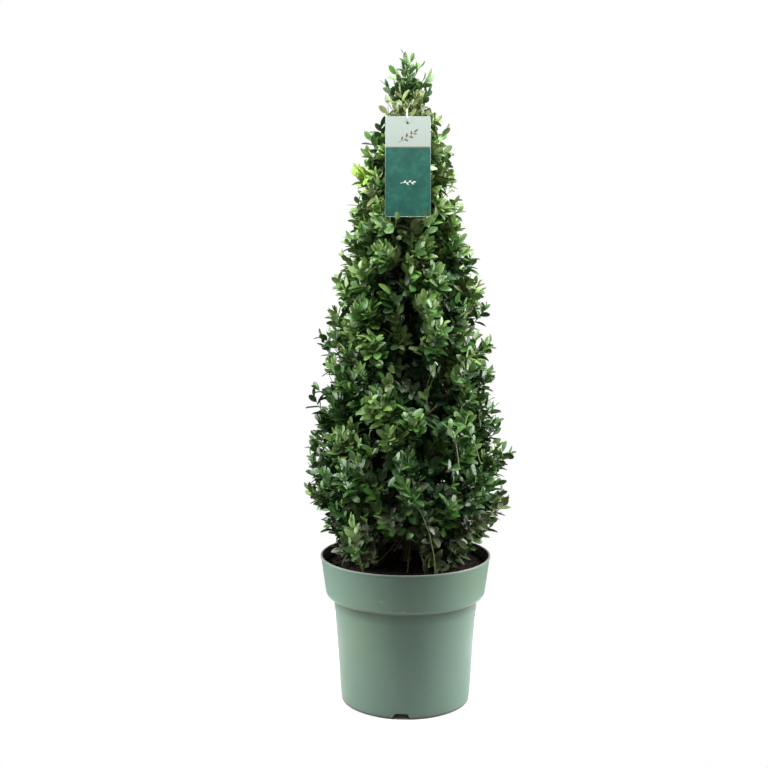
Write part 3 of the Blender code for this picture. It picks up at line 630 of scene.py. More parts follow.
def bark_finish():
    """Thin holly bark: old and young patches run along the limb, with small dark pores."""
    made = new_finish("thin tan bark", BARK_TAN, 0.78, {"Specular IOR Level": 0.35})
    place = object_place(made)
    long_ways = add_node(made, "Mapping", {"Vector": place, "Scale": (1.0, 1.0, 0.25)}).outputs[0]
    patches = noise(made, long_ways, BARK_PATCHES, 5.0)
    pores = add_node(made, "TexVoronoi", {"Vector": place, "Scale": PORES_A_METRE}).outputs["Distance"]
    streaked = blended(made, patches, BARK_TAN, BARK_GREEN)
    feed(made, "Base Color", blended(made, ranged(made, pores, 0.28, 0.12, 0.0, 0.7), streaked, BARK_DARK))
    bump(made, patches, 0.5, 0.0004)
    return made


old_bark = bark_finish()
leader_path = trunk_centre(np.linspace(TRUNK_FOOT, TRUNK_TIP, 80))
side_paths = {sector: side_stem_path(*place) for sector, place in SIDE_STEMS.items()}
bough_paths = {}
for tier in TIERS[1:]:
    for k, sector in enumerate(tier.sectors):
        azimuth = math.radians(tier.first_azimuth) + 2 * math.pi * k / len(tier.sectors)
        height = tier.low + BOUGH_LIFT + BOUGH_STEP * k
        bough_paths[f"{tier.name}_{sector}"] = bough_path(azimuth, height, tier.bough_reach)
# The piece's name, then its limbs' paths by the solids that they replace, their radii, the first one's seed
limb_groups = (
    ("leader_bark", {"trunk": leader_path}, lambda at: trunk_radius(at[:, 2]), 4),
    (
        "side_stem_bark",
        {f"stem_{sector}": path for sector, path in side_paths.items()},
        lambda at: np.linspace(STEM_FOOT_RADIUS, STEM_TIP_RADIUS, len(at)),
        10,
    ),
    (
        "bough_bark",
        {f"bough_{name}": path for name, path in bough_paths.items()},
        lambda at: np.full(len(at), BOUGH_RADIUS),
        20,
    ),
)
for name, paths, radius_at, first_seed in limb_groups:
    limbs = [bark_limb(path, radius_at, first_seed + k) for k, path in enumerate(paths.values())]
    parts = [skins(rings, rings[:, 0].mean(axis=1), rings[:, -1].mean(axis=1)) for rings in limbs]
    piece = new_piece(name, *joined(parts), (old_bark,))
    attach(piece, "root")
    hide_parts(*paths)


# Tag. A plastic card, die cut from white sheet with round corners and a punched hole, printed on both sides
# with a clouded teal, a cream band at its top and a thin gold rule, up to a white margin. On the front a gold
# sprig is foiled on the band, and a smaller one is printed in cream on the teal.

TAG_WIDTH = 0.053
TAG_HEIGHT = 0.1215
TAG_THICKNESS = 0.0008
TAG_CORNER = 0.0020
TAG_EDGE = 0.0001
TAG_STEP = 0.003
TAG_HOLE_RADIUS = 0.0025
TAG_HOLE_DROP = 0.0072
TAG_TOP = np.array([0.0025, -0.0445, 0.712])
TAG_TILT = math.radians(13.0)
BAND_HEIGHT = 0.0370
RULE_HEIGHT = 0.0012
MARGIN = 0.0004
TEAL = "#0F4A3D"
TEAL_LIGHT = "#1E594B"
TEAL_DARK = "#0D4039"
CREAM = "#8F9993"
GOLD = "#6C6048"
INK_CREAM = "#B4BCB4"
CARD_WHITE = "#A4ADA8"
PRINT_RINGS = 9
FOIL_RISE = 0.00006
FOIL_SIDES = 8
FOIL_STEM = (0.00035, 0.00015)
# Leaves of the foiled motifs: the foot's place across and down, heading in degrees, length, half width
GOLD_LEAVES = (
    (-0.0075, 0.0295, 75, 0.0052, 0.0011),
    (-0.0045, 0.0278, -25, 0.0056, 0.0012),
    (-0.0020, 0.0262, 78, 0.0058, 0.0012),
    (0.0012, 0.0243, -22, 0.0056, 0.0012),
    (0.0036, 0.0226, 80, 0.0052, 0.0011),
    (0.0060, 0.0208, -15, 0.0048, 0.0010),
    (0.0072, 0.0197, 42, 0.0062, 0.0012),
)
GOLD_STEM = ((-0.0115, 0.0315), (-0.0015, 0.0290), (0.0074, 0.0195))
CREAM_LEAVES = (
    (-0.0052, 0.0808, 40, 0.0042, 0.0009),
    (-0.0022, 0.0806, -40, 0.0042, 0.0009),
    (0.0008, 0.0804, 40, 0.0042, 0.0009),
    (0.0038, 0.0802, -40, 0.0040, 0.0008),
    (0.0052, 0.0800, 5, 0.0044, 0.0009),
)
CREAM_STEM = ((-0.0090, 0.0812), (-0.0010, 0.0802), (0.0054, 0.0800))


def card_point(across, down, out=0.0):
    """A point of the card: across to the right, down from its top edge, out from its middle plane.

    The card hangs from its top edge and leans forwards at its foot by the tilt.
    """
    across, down, out = np.broadcast_arrays(across, down, out)
    sine, cosine = math.sin(TAG_TILT), math.cos(TAG_TILT)
    return TAG_TOP + np.stack([across, -out * cosine - down * sine, out * sine - down * cosine], axis=-1)


def card_outline():
    """The card's outline with round corners, as (across, down) pairs about a step apart."""
    half, low = TAG_WIDTH / 2 - TAG_CORNER, TAG_HEIGHT - TAG_CORNER
    corners = ((half, TAG_CORNER, 90), (-half, TAG_CORNER, 180), (-half, low, 270), (half, low, 360))
    rounded = [arc((across, -down), TAG_CORNER, turn - 90, turn, 7) for across, down, turn in corners]
    outline = []
    for k, part in enumerate(rounded):
        following = rounded[(k + 1) % 4][0]
        steps = round(np.linalg.norm(following - part[-1]) / TAG_STEP)
        outline += [part, part[-1] + (following - part[-1]) * np.arange(1, steps)[:, None] / steps]
    return np.concatenate(outline) * [1, -1]


def card_mesh():
    """The card as rings that widen from the hole to the outline on the front and narrow again on the back.

    Gives the (ring, side, xyz) points and their (ring, side, across and down) places for the print.
    """
    outline = card_outline()
    hole = np.array([0.0, TAG_HOLE_DROP])
    distance = np.linalg.norm(outline - hole, axis=1, keepdims=True)
    heading = (outline - hole) / distance
    printed = distance - TAG_EDGE - MARGIN - TAG_HOLE_RADIUS
    shares = np.linspace(0, 1, PRINT_RINGS)
    front = [hole + heading * (TAG_HOLE_RADIUS + printed * share) for share in shares]
    front.append(hole + heading * (distance - TAG_EDGE))
    flat = np.stack(front + [outline, outline] + front[::-1])
    half = TAG_THICKNESS / 2
    outs = [half] * len(front) + [half - TAG_EDGE, TAG_EDGE - half] + [-half] * len(front)
    return card_point(flat[..., 0], flat[..., 1], np.array(outs)[:, None]), flat


def hoop(rings):
    """Points and four-sided faces of a skin that closes round its rings and from the last to the first."""
    ring_count, sides, _ = rings.shape
    ring, side = np.arange(ring_count)[:, None] * sides, np.arange(sides)
    next_ring, after = np.roll(ring, -1, axis=0), np.roll(side, -1)
    quads = np.stack([ring + side, next_ring + side, next_ring + after, ring + after], axis=2)
    return rings.reshape(-1, 3), quads.reshape(-1, 4), np.zeros((0, 3), int)


def print_finish():
    """Offset print under a satin film: clouded teal, with a cream band and a gold rule by the card's UV."""
    made = new_finish("printed card, satin film", TEAL, 0.50, {"Specular IOR Level": 0.25})
    place = add_node(made, "UVMap", uv_map="card").outputs["UV"]
    down = add_node(made, "SeparateXYZ", {"Vector": place}).outputs["Y"]
    wisps = {"Vector": place, "Scale": 95.0, "Detail": 6.0, "Distortion": 1.2}
    wisps = add_node(made, "TexNoise", wisps).outputs["Fac"]
    pale = ranged(made, wisps, 0.40, 0.66)
    deep = ranged(made, noise(made, place, 0.030, 3.0), 0.42, 0.62)
    teal = blended(made, deep, blended(made, pale, TEAL, TEAL_LIGHT), TEAL_DARK)
    above_rule = reckoned(made, "LESS_THAN", down, BAND_HEIGHT + RULE_HEIGHT)
    above_cream = reckoned(made, "LESS_THAN", down, BAND_HEIGHT)
    feed(made, "Base Color", blended(made, above_cream, blended(made, above_rule, teal, GOLD), CREAM))
    return made


def foiled(leaves, stem):
    """Raised leaves of a lens outline on the card's front, and a curved stem that tapers.

    Each is a tube along the card, pressed flat to the foil's rise. A leaf's half width is its widest one
    times a power of sin(pi t).
    """
    feet = np.array(leaves, float)
    turn = np.radians(feet[:, 2:3])
    heading = np.concatenate([np.cos(turn), -np.sin(turn), 0 * turn], axis=1)
    t = np.linspace(0.02, 0.98, 9)
    paths = np.pad(feet[:, :2], ((0, 0), (0, 1)))[:, None] + heading[:, None] * (feet[:, 3:4] * t)[..., None]
    radii = feet[:, 4:] * np.sin(math.pi * t) ** 0.8
    line = curve(*np.pad(np.array(stem), ((0, 0), (0, 1))), 8)
    paths = np.concatenate([paths, line[None]])
    radii = np.concatenate([radii, np.linspace(*FOIL_STEM, 9)[None]])
    flat = tube_rings(paths, radii, FOIL_SIDES)[:, :, ::-1]
    flat[..., 2] *= FOIL_RISE / np.maximum(radii, 1e-5)[..., None]
    rings = card_point(flat[..., 0], flat[..., 1], TAG_THICKNESS / 2 + flat[..., 2])
    return skins(rings, rings[:, 0].mean(axis=1), rings[:, -1].mean(axis=1))


def gold_foil():
    """Hot stamped foil, lightly broken up by the card's surface below it."""
    made = new_finish("gold foil, hot stamped", GOLD, 0.34, {"Metallic": 0.7})
    grain = noise(made, object_place(made), 0.0008, 2.0)
    feed(made, "Roughness", ranged(made, grain, 0.35, 0.65, 0.26, 0.46))
    return made


def write_uv(piece, name, places):
    """Gives a piece a UV map from the place across and along that each of its points has."""
    layer = piece.data.uv_layers.new(name=name)
    corner_point = np.empty(len(piece.data.loops), np.int32)
    piece.data.loops.foreach_get("vertex_index", corner_point)
    layer.data.foreach_set("uv", places[corner_point].astype(np.float32).ravel())


card_rings, card_flat = card_mesh()
white_sheet = new_finish("white plastic sheet, unprinted", CARD_WHITE, 0.40)
ring_of = np.repeat(np.arange(len(card_rings)), card_rings.shape[1])
is_cut = np.isin(ring_of, [*range(PRINT_RINGS - 1, PRINT_RINGS + 4), len(card_rings) - 1])
tag = new_piece("tag_card", *hoop(card_rings), (print_finish(), white_sheet), is_cut, sharp=25.0)
write_uv(tag, "card", card_flat.reshape(-1, 2))
gold_sprig = new_piece("tag_gold_sprig", *foiled(GOLD_LEAVES, GOLD_STEM), (gold_foil(),))
cream_ink = new_finish("cream ink, screen printed", INK_CREAM, 0.45)
cream_sprig = new_piece("tag_cream_sprig", *foiled(CREAM_LEAVES, CREAM_STEM), (cream_ink,))
for piece in (tag, gold_sprig, cream_sprig):
    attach(piece, "root")
    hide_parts("tag")


# Tie. A loop of white elastic cord, wound with thread: through the card's hole, over its top edge and round
# the leader. Its ends meet in a pressed bead behind the card.

TIE_RADIUS = 0.0007
TIE_HEIGHT = 0.6945
TIE_STEPS = 12
TIE_SIDES = 12
BEAD_RADIUS = 0.0014
BEAD_LENGTH = 0.0036
BEAD_SIDES = 16
THREAD_PITCH = 0.0012
CORD_WHITE = "#CFD2CE"
# Where the loop's ends meet, in stations along it
ENDS_MEET = 9.5


def tie_stations():
    """The points that the loop passes, in order, from inside the hole and back to it."""
    centre = trunk_centre(np.array(TIE_HEIGHT))
    wrap = trunk_radius(TIE_HEIGHT) + TIE_RADIUS + CLEAR
    left, right = centre[0] - wrap, centre[0] + wrap
    card_y, card_z = TAG_TOP[1], TAG_TOP[2]
    return np.array(
        [
            card_point(0.0, TAG_HOLE_DROP - 0.0014),
            card_point(-0.0006, TAG_HOLE_DROP - 0.0038, 0.0024),
            card_point(-0.0014, -0.0012, 0.0024),
            (left + 0.0015, card_y + 0.006, card_z + 0.0085),
            (left, card_y + 0.026, TIE_HEIGHT + 0.0130),
            (left, centre[1], TIE_HEIGHT),
            (centre[0], centre[1] + wrap, TIE_HEIGHT),
            (right, centre[1], TIE_HEIGHT),
            (right, card_y + 0.026, TIE_HEIGHT + 0.0080),
            card_point(0.0010, TAG_HOLE_DROP - 0.0026, -0.0060),
        ]
    )


def smooth_loop(stations, steps):
    """A closed cubic curve through the stations, parallel at each to the line between its neighbours."""
    a, b, c, d = (np.roll(stations, -k, axis=0)[:, None] for k in (-1, 0, 1, 2))
    t = (np.arange(steps) / steps)[None, :, None]
    doubled = 2 * b + (c - a) * t + (2 * a - 5 * b + 4 * c - d) * t**2 + (3 * b - a - 3 * c + d) * t**3
    return 0.5 * doubled.reshape(-1, 3)


def cord_finish():
    """Spun polyester over rubber: matt white, with the wound thread's fine turns across it."""
    made = new_finish("white elastic cord, wound", CORD_WHITE, 0.75, {"Sheen Weight": 0.3})
    along = add_node(made, "SeparateXYZ", {"Vector": add_node(made, "UVMap", uv_map="cord").outputs["UV"]})
    turns = reckoned(made, "MULTIPLY", along.outputs["X"], 2 * math.pi / THREAD_PITCH)
    slant = reckoned(made, "MULTIPLY_ADD", along.outputs["Y"], 2 * math.pi, turns)
    bump(made, reckoned(made, "SINE", slant), 0.5, 0.0001)
    return made


loop_path = np.roll(smooth_loop(tie_stations(), TIE_STEPS), -round(ENDS_MEET * TIE_STEPS), axis=0)
loop_path = np.concatenate([loop_path, loop_path[:2]])
loop_rings = tube_rings(loop_path[None], np.full((1, len(loop_path)), TIE_RADIUS), TIE_SIDES)
cord = new_piece("tie_cord", *skins(loop_rings, loop_path[:1], loop_path[-1:]), (cord_finish(),))
cord_along = walked(loop_path)[:, None]
cord_across = np.abs(np.arange(TIE_SIDES) / TIE_SIDES * 2 - 1)
cord_places = np.stack(np.broadcast_arrays(cord_along, cord_across), axis=2).reshape(-1, 2)
write_uv(cord, "cord", np.concatenate([cord_places, [[0, 0], [cord_along[-1, 0], 0]]]))
bead_way = unit(loop_path[1] - loop_path[0])
bead_share = np.linspace(-0.94, 0.94, 9)
bead_path = loop_path[0] + bead_way * (BEAD_LENGTH / 2 * bead_share)[:, None]
bead_radii = BEAD_RADIUS * (1 - bead_share**4) ** 0.5
bead_rings = tube_rings(bead_path[None], bead_radii[None], BEAD_SIDES)
bead_parts = skins(bead_rings, bead_path[:1], bead_path[-1:])
bead = new_piece("tie_bead", *bead_parts, (new_finish("white nylon, pressed bead", CORD_WHITE, 0.45),))
for piece in (cord, bead):
    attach(piece, "root")
    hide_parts("tag_tie")


# Foliage. Each mass goes on from the tip of its side stem, bough or leader: its own stem, branches that
# leave that by a golden rule, and shoots that fan out from the branches to the clipped surface. Small oval
# leaves stand round each shoot's end, dark and glossy above and paler below, lime green where they are new.

CROWN_TIP = 0.795
CROWN_WIDEST = 0.290
CROWN_RADIUS = 0.125
CROWN_POWER = 0.64
SKIRT_FOOT = 0.165
SKIRT_PULL = 0.44
SKIRT_POWER = 1.5
SHOOT_SLOPE = 1.0
HOLLOW_FRONT_LOW = 0.112
MASS_STEM_SHARE = 0.45
MASS_STEM_DROP = 0.030
TIP_STEM_DROP = 0.028
TIP_SHOOT_DROP = 0.028
TIP_DENSE_LAYER = 0.682
GOLDEN_SHARE = (math.sqrt(5) - 1) / 2
BRANCH_SPACING = 0.042
BRANCH_SHARE = 0.72
BRANCH_REACHES = (0.85, 1.1)
BRANCH_SAG = 0.12
BRANCH_SHIFT = 0.06
SHOOT_SPACING = 0.0152
SHOOT_BACK = 0.008
# Where on its branch a shoot starts, how freely it takes a near branch, and how far it turns aside
SHOOT_ROOTS = (0.45, 0.98)
SHOOT_MIX = 0.012
SHOOT_ASIDE = 0.3
# How steeply shoots end, in degrees, and by how much that changes with height
SHOOT_RISE = (28, 74)
RISE_TURNS = (0.19, 0.25, 0.66, 0.74)
RISE_CHANGE = (-42, 0, 0, 16)
LEAF_REACH = 0.0052
CLUMP_PULL = 0.32
CLUMP_ROUND = 0.017
CLUMP_STEP = 0.0045
SPARSE_SHARE = 0.20
SPARSE_REACH = 0.003
CORE_RANGE = (0.30, 0.60)
CORE_RISE = 0.020
CORE_SAG = 0.004
LEAF_LENGTH = 0.0174
LEAF_WIDTH_SHARE = 0.50
LEAF_THICKNESS = 0.0004
LEAF_ROWS = np.array([0.13, 0.38, 0.66, 0.90])
# Ranges that the leaves vary in: shares of their length and their width, the blade's cup and curl
LEAF_SIZES = (0.78, 1.14)
LEAF_WIDTHS = (0.88, 1.12)
LEAF_CUPS = (0.10, 0.40)
LEAF_CURLS = (-0.02, 0.22)
# How far leaves stray in radians round the shoot and in degrees of lean, and how far they point up
TURN_SPREAD = 0.25
LEAN_SPREAD = 9
LEAF_LIFT = 0.12
# What a leaf's face turns to besides its shoot's own way: shares of up, of outwards and of chance
FACE_UP = 0.55
FACE_OUT = 0.45
FACE_SPREAD = 0.40
# A stem's leaves: their count, the step between them, then the newest and the old ones' lean and size
Spray = namedtuple("Spray", "count step leans sizes")
ON_SHOOT = Spray(14, 0.0038, (16, 58), (0.66, 1.0))
ON_SPARSE_SHOOT = Spray(8, 0.0066, (25, 60), (0.60, 1.0))
ON_SINGLE_SHOOT = Spray(7, 0.0048, (12, 50), (0.72, 1.05))
ON_BRANCH = Spray(24, 0.0045, (50, 75), (1.0, 1.0))
ON_CORE_TWIG = Spray(16, 0.0045, (50, 75), (1.0, 1.0))
# Arrays of leaves: foot, direction, face and length of each, its shoot's number and its own on the shoot
Grown = namedtuple("Grown", "foot direction face length shoot number")
# The tubes of shoots, branches and a mass's stem: radius at the foot and at the tip, sides, finish
TWIG_TUBES = ((0.00085, 0.00040, 4, 0), (0.0015, 0.0009, 5, 1), (0.0022, 0.0012, 8, 1))
STEM_STEP = 0.006
# Empty hollows in the crown, each an ellipsoid: the middle, and the reach along x, y and z
HOLLOWS = np.array([
    (-0.007, -0.095, 0.184, 0.030, 0.056, 0.038),
    (0.0025, -0.033, 0.703, 0.007, 0.010, 0.007),
    (0.006, -0.080, 0.580, 0.016, 0.034, 0.014),
    (-0.010, -0.086, 0.524, 0.012, 0.036, 0.034),
    (0.004, -0.092, 0.468, 0.019, 0.040, 0.032),
    (0.007, -0.094, 0.408, 0.021, 0.040, 0.038),
    (0.043, -0.092, 0.389, 0.016, 0.040, 0.028),
    (0.031, -0.110, 0.322, 0.016, 0.036, 0.020),
    (0.042, -0.108, 0.287, 0.011, 0.030, 0.013),
    (-0.046, -0.104, 0.338, 0.012, 0.018, 0.020),
    (-0.036, -0.104, 0.300, 0.014, 0.036, 0.018),
    (-0.020, -0.100, 0.262, 0.012, 0.034, 0.016),
])
# Narrow gaps that the background shows through: where each crosses y = 0, across and up, and its radius.
# They all run towards one point in front of the plant.
GAP_FOCUS = np.array([0.0, -1.487, 0.555])
GAPS = np.array([
    (-0.0100, 0.2170, 0.0024), (0.0316, 0.2383, 0.0020), (-0.0277, 0.2518, 0.0018),
    (0.0563, 0.2534, 0.0018), (-0.0785, 0.2229, 0.0022), (-0.0878, 0.2341, 0.0026),
    (-0.0479, 0.4538, 0.0022), (0.0887, 0.4380, 0.0036), (-0.0880, 0.3971, 0.0040),
    (-0.1028, 0.3884, 0.0036), (-0.0979, 0.3661, 0.0036), (-0.0960, 0.3100, 0.0030),
    (0.1016, 0.3170, 0.0026), (0.0990, 0.3332, 0.0024), (0.1068, 0.2561, 0.0022),
    (0.0944, 0.2722, 0.0022), (0.0860, 0.3993, 0.0024), (-0.0849, 0.4316, 0.0028),
    (0.0440, 0.6281, 0.0024), (0.0470, 0.6208, 0.0020), (0.0185, 0.7686, 0.0038),
    (-0.0159, 0.7265, 0.0028),
])
CARD_ROOM = 0.0012
CARD_LAPPED = 0.0035
SOIL_ROOM = 0.001
POT_ROOM = 0.003
# Ends of the single shoots of the thin tuft at the top
TIP_SHOOTS = np.array([
    (-0.0010, 0.0020, 0.787), (0.0165, -0.0040, 0.775), (0.0060, -0.0020, 0.783),
    (-0.0130, 0.0040, 0.768), (0.0205, 0.0030, 0.760), (0.0265, -0.0030, 0.745),
    (0.0255, -0.0040, 0.762), (-0.0225, -0.0030, 0.752), (-0.0210, 0.0020, 0.732),
    (-0.0230, -0.0060, 0.720), (-0.0110, -0.0070, 0.750), (0.0120, 0.0050, 0.753),
    (0.0190, -0.0090, 0.737), (-0.0150, 0.0080, 0.741), (0.0190, 0.0040, 0.726),
    (0.0030, -0.0140, 0.757), (-0.0030, 0.0150, 0.759), (0.0040, 0.0210, 0.742),
    (-0.0060, -0.0200, 0.741), (0.0120, -0.0160, 0.738), (-0.0110, 0.0190, 0.735),
    (0.0140, 0.0180, 0.729), (0.0020, -0.0240, 0.727), (-0.0130, -0.0140, 0.727),
    (0.0000, 0.0260, 0.722), (0.0060, 0.0030, 0.748), (-0.0020, -0.0060, 0.771),
])
# The numbers in GREENS that the tuft's shoots draw from
TIP_SHADES = np.array([0, 3, 1, 3])
# Shoots that stand clear of the surface, by mass: azimuth, reach, height, shade of the leaves
STRAY_SHOOTS = {
    "upper_left": (
        (203, 0.062, 0.650, 4), (212, 0.060, 0.647, 4), (206, 0.061, 0.640, 4), (192, 0.043, 0.688, 1),
        (205, 0.050, 0.668, 2), (-98, 0.082, 0.594, 1), (-104, 0.082, 0.599, 2), (-110, 0.080, 0.588, 1),
    ),
    "upper_right": (
        (-87, 0.081, 0.584, 0), (-74, 0.082, 0.594, 1), (-70, 0.083, 0.602, 2), (-65, 0.080, 0.596, 1),
        (-6, 0.047, 0.697, 1),
    ),
    "lower_right": ((-4, 0.123, 0.246, 3),),
    "lower_left": ((187, 0.118, 0.262, 2),),
    "lower_front": (
        (-72, 0.080, 0.186, 5), (-64, 0.086, 0.194, 5), (-58, 0.084, 0.182, 5), (-76, 0.086, 0.205, 5),
    ),
}
# Shoots whose pale stems show, by mass: shade, then the start, the middle handle and the end of the curve
SHOWN_SHOOTS = {
    "lower_front": ((1, (0.0355, -0.078, 0.1682), (0.0345, -0.120, 0.2480), (-0.0050, -0.116, 0.2900)),),
    "lower_left": (
        (2, (-0.0465, -0.080, 0.1682), (-0.0563, -0.102, 0.2130), (-0.0618, -0.099, 0.2410)),
        (1, (-0.0480, -0.076, 0.1682), (-0.0520, -0.092, 0.1950), (-0.0700, -0.086, 0.2200)),
    ),
    "lower_right": (
        (1, (0.0611, -0.103, 0.3050), (0.0600, -0.110, 0.3380), (0.0482, -0.108, 0.3610)),
        (1, (0.0857, -0.087, 0.3120), (0.0785, -0.099, 0.3440), (0.0628, -0.098, 0.3610)),
    ),
}
# Swellings and hollows of the clipped surface, by azimuth and spread: height, spread in height, reach
SWELLINGS = {
    (0, 45): (
        (0.235, 0.030, 0.012), (0.540, 0.040, 0.001), (0.605, 0.025, -0.006), (0.481, 0.010, 0.008),
        (0.671, 0.012, -0.006),
    ),
    (180, 50): ((0.350, 0.030, -0.010),),
    (180, 45): (
        (0.455, 0.020, 0.009), (0.560, 0.030, 0.005), (0.620, 0.030, -0.005), (0.656, 0.014, -0.004),
        (0.462, 0.012, -0.015), (0.534, 0.012, -0.012), (0.392, 0.013, -0.014), (0.478, 0.030, -0.006),
        (0.676, 0.022, -0.008), (0.420, 0.020, -0.005),
    ),
    (180, 40): ((0.507, 0.012, 0.006), (0.529, 0.012, -0.006), (0.215, 0.022, -0.010)),
    (0, 40): (
        (0.573, 0.012, 0.006), (0.412, 0.012, 0.010), (0.430, 0.016, 0.013), (0.385, 0.018, -0.012),
        (0.215, 0.018, -0.006), (0.697, 0.010, 0.010), (0.490, 0.010, 0.012), (0.300, 0.015, 0.004),
    ),
    (185, 55): ((0.694, 0.018, -0.024),),
    (0, 700): ((0.716, 0.014, -0.009),),
    (-88, 24): ((0.190, 0.024, -0.045),),
    (-98, 10): ((0.430, 0.055, -0.030),),
    (-88, 20): ((0.575, 0.016, -0.012),),
    (0, 50): ((0.457, 0.013, -0.022),),
}
SURFACE_WAVE = 0.0035

Mass = namedtuple("Mass", "name azimuth half low high stem")


def crown_radius(height):
    """Distance from the axis to the clipped surface: a convex cone, pulled in again below its widest."""
    up = np.clip((height - CROWN_WIDEST) / (CROWN_TIP - CROWN_WIDEST), 0, 1)
    down = np.clip((CROWN_WIDEST - height) / (CROWN_WIDEST - SKIRT_FOOT), 0, 1.5)
    return CROWN_RADIUS * ((1 - up) ** CROWN_POWER - SKIRT_PULL * down**SKIRT_POWER)


def layer_of(points):
    """Height where a shoot through each point, rising outwards at the usual slope, would leave the axis."""
    return points[..., 2] - SHOOT_SLOPE * np.hypot(points[..., 0], points[..., 1])


def layer_point(layer, azimuth, share):
    """The points of layers that lie at this share of the crown's radius, found by halving steps."""
    layer, azimuth, share = np.broadcast_arrays(layer, azimuth, share)
    radius = np.full(layer.shape, 0.05)
    for _ in range(40):
        radius = 0.5 * radius + 0.5 * share * crown_radius(layer + SHOOT_SLOPE * radius)
    return polar(radius, azimuth, layer + SHOOT_SLOPE * radius)


def mass_stem(azimuth, low, high, bearer):
    """A mass's own stem: a curve from its bearer's tip, bent towards its middle layer, up to its top."""
    heading = bearer[-1] - bearer[-2]
    start = bearer[-1] + heading / np.linalg.norm(heading) * (CLEAR + STEM_COLLAR)
    top = layer_point(high - MASS_STEM_DROP, azimuth, MASS_STEM_SHARE)
    middle_layer = 0.5 * (max(low, layer_of(start)) + high)
    middle = layer_point(middle_layer, azimuth, MASS_STEM_SHARE)
    return np.concatenate([bearer[-1:], curve(start, middle * 1.5 - (start + top) * 0.25, top, 6)])


def tip_stem():
    """The leader's own last length, straight up into the tuft at the top."""
    foot = trunk_centre(np.array(TRUNK_TIP))
    top = np.array([foot[0], foot[1], CROWN_TIP - TIP_STEM_DROP])
    return foot + (top - foot) * np.linspace(0, 1, 8)[:, None]


def all_masses():
    """Every mass: a sector of a tier between two layers, and the tuft at the tip."""
    masses = []
    for tier in TIERS:
        half = math.pi / len(tier.sectors)
        for k, sector in enumerate(tier.sectors):
            azimuth = math.radians(tier.first_azimuth) + 2 * half * k
            name = f"{tier.name}_{sector}"
            bearer = side_paths[sector] if tier.name == "lower" else bough_paths[name]
            low = HOLLOW_FRONT_LOW if name == "lower_front" else tier.low
            stem = mass_stem(azimuth, low, tier.high, bearer)
            masses.append(Mass(name, azimuth, half, low, tier.high, stem))
    masses.append(Mass("tip", 0.0, math.pi, TIERS[-1].high, TIP_DENSE_LAYER, tip_stem()))
    return masses


def surface_targets(mass, spacing, rng):
    """Targets spread evenly over a mass's part of the clipped surface, as layers and azimuths.

    The layers share out the surface's area, and each azimuth is a golden share of the sector on from the
    one before. Both are then shifted a little at random.
    """
    layers = np.linspace(mass.low, mass.high, 80)
    profile = layer_point(layers, 0.0, 1.0)
    step = np.linalg.norm(np.diff(profile, axis=0), axis=1)
    area = np.concatenate([[0], np.cumsum(step * (profile[1:, 0] + profile[:-1, 0]) * mass.half)])
    count = round(area[-1] / spacing**2)
    index = np.arange(count)
    layer = np.interp((index + rng.uniform(0.0, 1.0, count)) / count * area[-1], area, layers)
    azimuth = mass.azimuth + (2 * ((0.5 + index * GOLDEN_SHARE) % 1) - 1) * mass.half
    girth = layer_point(layer, 0.0, 1.0)[:, 0]
    return layer, azimuth + rng.uniform(-0.4, 0.4, count) * spacing / np.maximum(girth, 0.02)


def swell(points):
    """Moves points of the clipped surface out or in by its swellings, its hollows and a slow wave."""
    azimuth = np.degrees(np.arctan2(points[:, 1], points[:, 0]))
    radius = np.hypot(points[:, 0], points[:, 1])
    moved = SURFACE_WAVE * ripples(points, 0.06, 31)
    for (middle, spread), bands in SWELLINGS.items():
        off = ((azimuth - middle + 180) % 360 - 180) / spread
        for height, rise, reach in bands:
            moved += reach * np.exp(-(((points[:, 2] - height) / rise) ** 2) - off**2)
    scale = np.maximum(0.15, 1 + moved / np.maximum(radius, 0.01))
    return points * np.stack([scale, scale, np.ones_like(scale)], axis=1)


def along_curve(t, start, middle, end):
    """The points and the directions of quadratic curves, each at its own share t."""
    t = t[:, None]
    return bent(start, middle, end, t), unit((middle - start) * (1 - t) + (end - middle) * t)


def grow_branches(mass, rng):
    """The branches of a mass as the start, middle and end of a curve each, and the surface beyond each.

    A branch leaves the stem at its own layer's share of the way up, sags a little and then turns up.
    """
    layer, azimuth = surface_targets(mass, BRANCH_SPACING, rng)
    low, high = layer_of(mass.stem[1]), layer_of(mass.stem[-1])
    place = np.clip((layer - low) / (high - low), 0, 1) * (len(mass.stem) - 2)
    below = np.minimum(place.astype(int), len(mass.stem) - 3)
    start = mass.stem[below + 1] + (mass.stem[below + 2] - mass.stem[below + 1]) * (place - below)[:, None]
    end = layer_point(layer, azimuth, BRANCH_SHARE * rng.uniform(*BRANCH_REACHES, len(layer)))
    length = np.linalg.norm(end - start, axis=1, keepdims=True)
    sag = length * [0, 0, BRANCH_SAG]
    middle = (start + end) / 2 - sag + length * BRANCH_SHIFT * rng.normal(size=end.shape)
    return start, middle, end, layer_point(layer, azimuth, 1.0)


def core_twigs(branches):
    """Twigs from the leader, rising a little to the feet of the branches between two heights."""
    feet = branches[0]
    feet = feet[(feet[:, 2] > CORE_RANGE[0]) & (feet[:, 2] < CORE_RANGE[1])]
    roots = trunk_centre(feet[:, 2] - CORE_RISE)
    return roots, (roots + feet) / 2 - [0, 0, CORE_SAG], feet


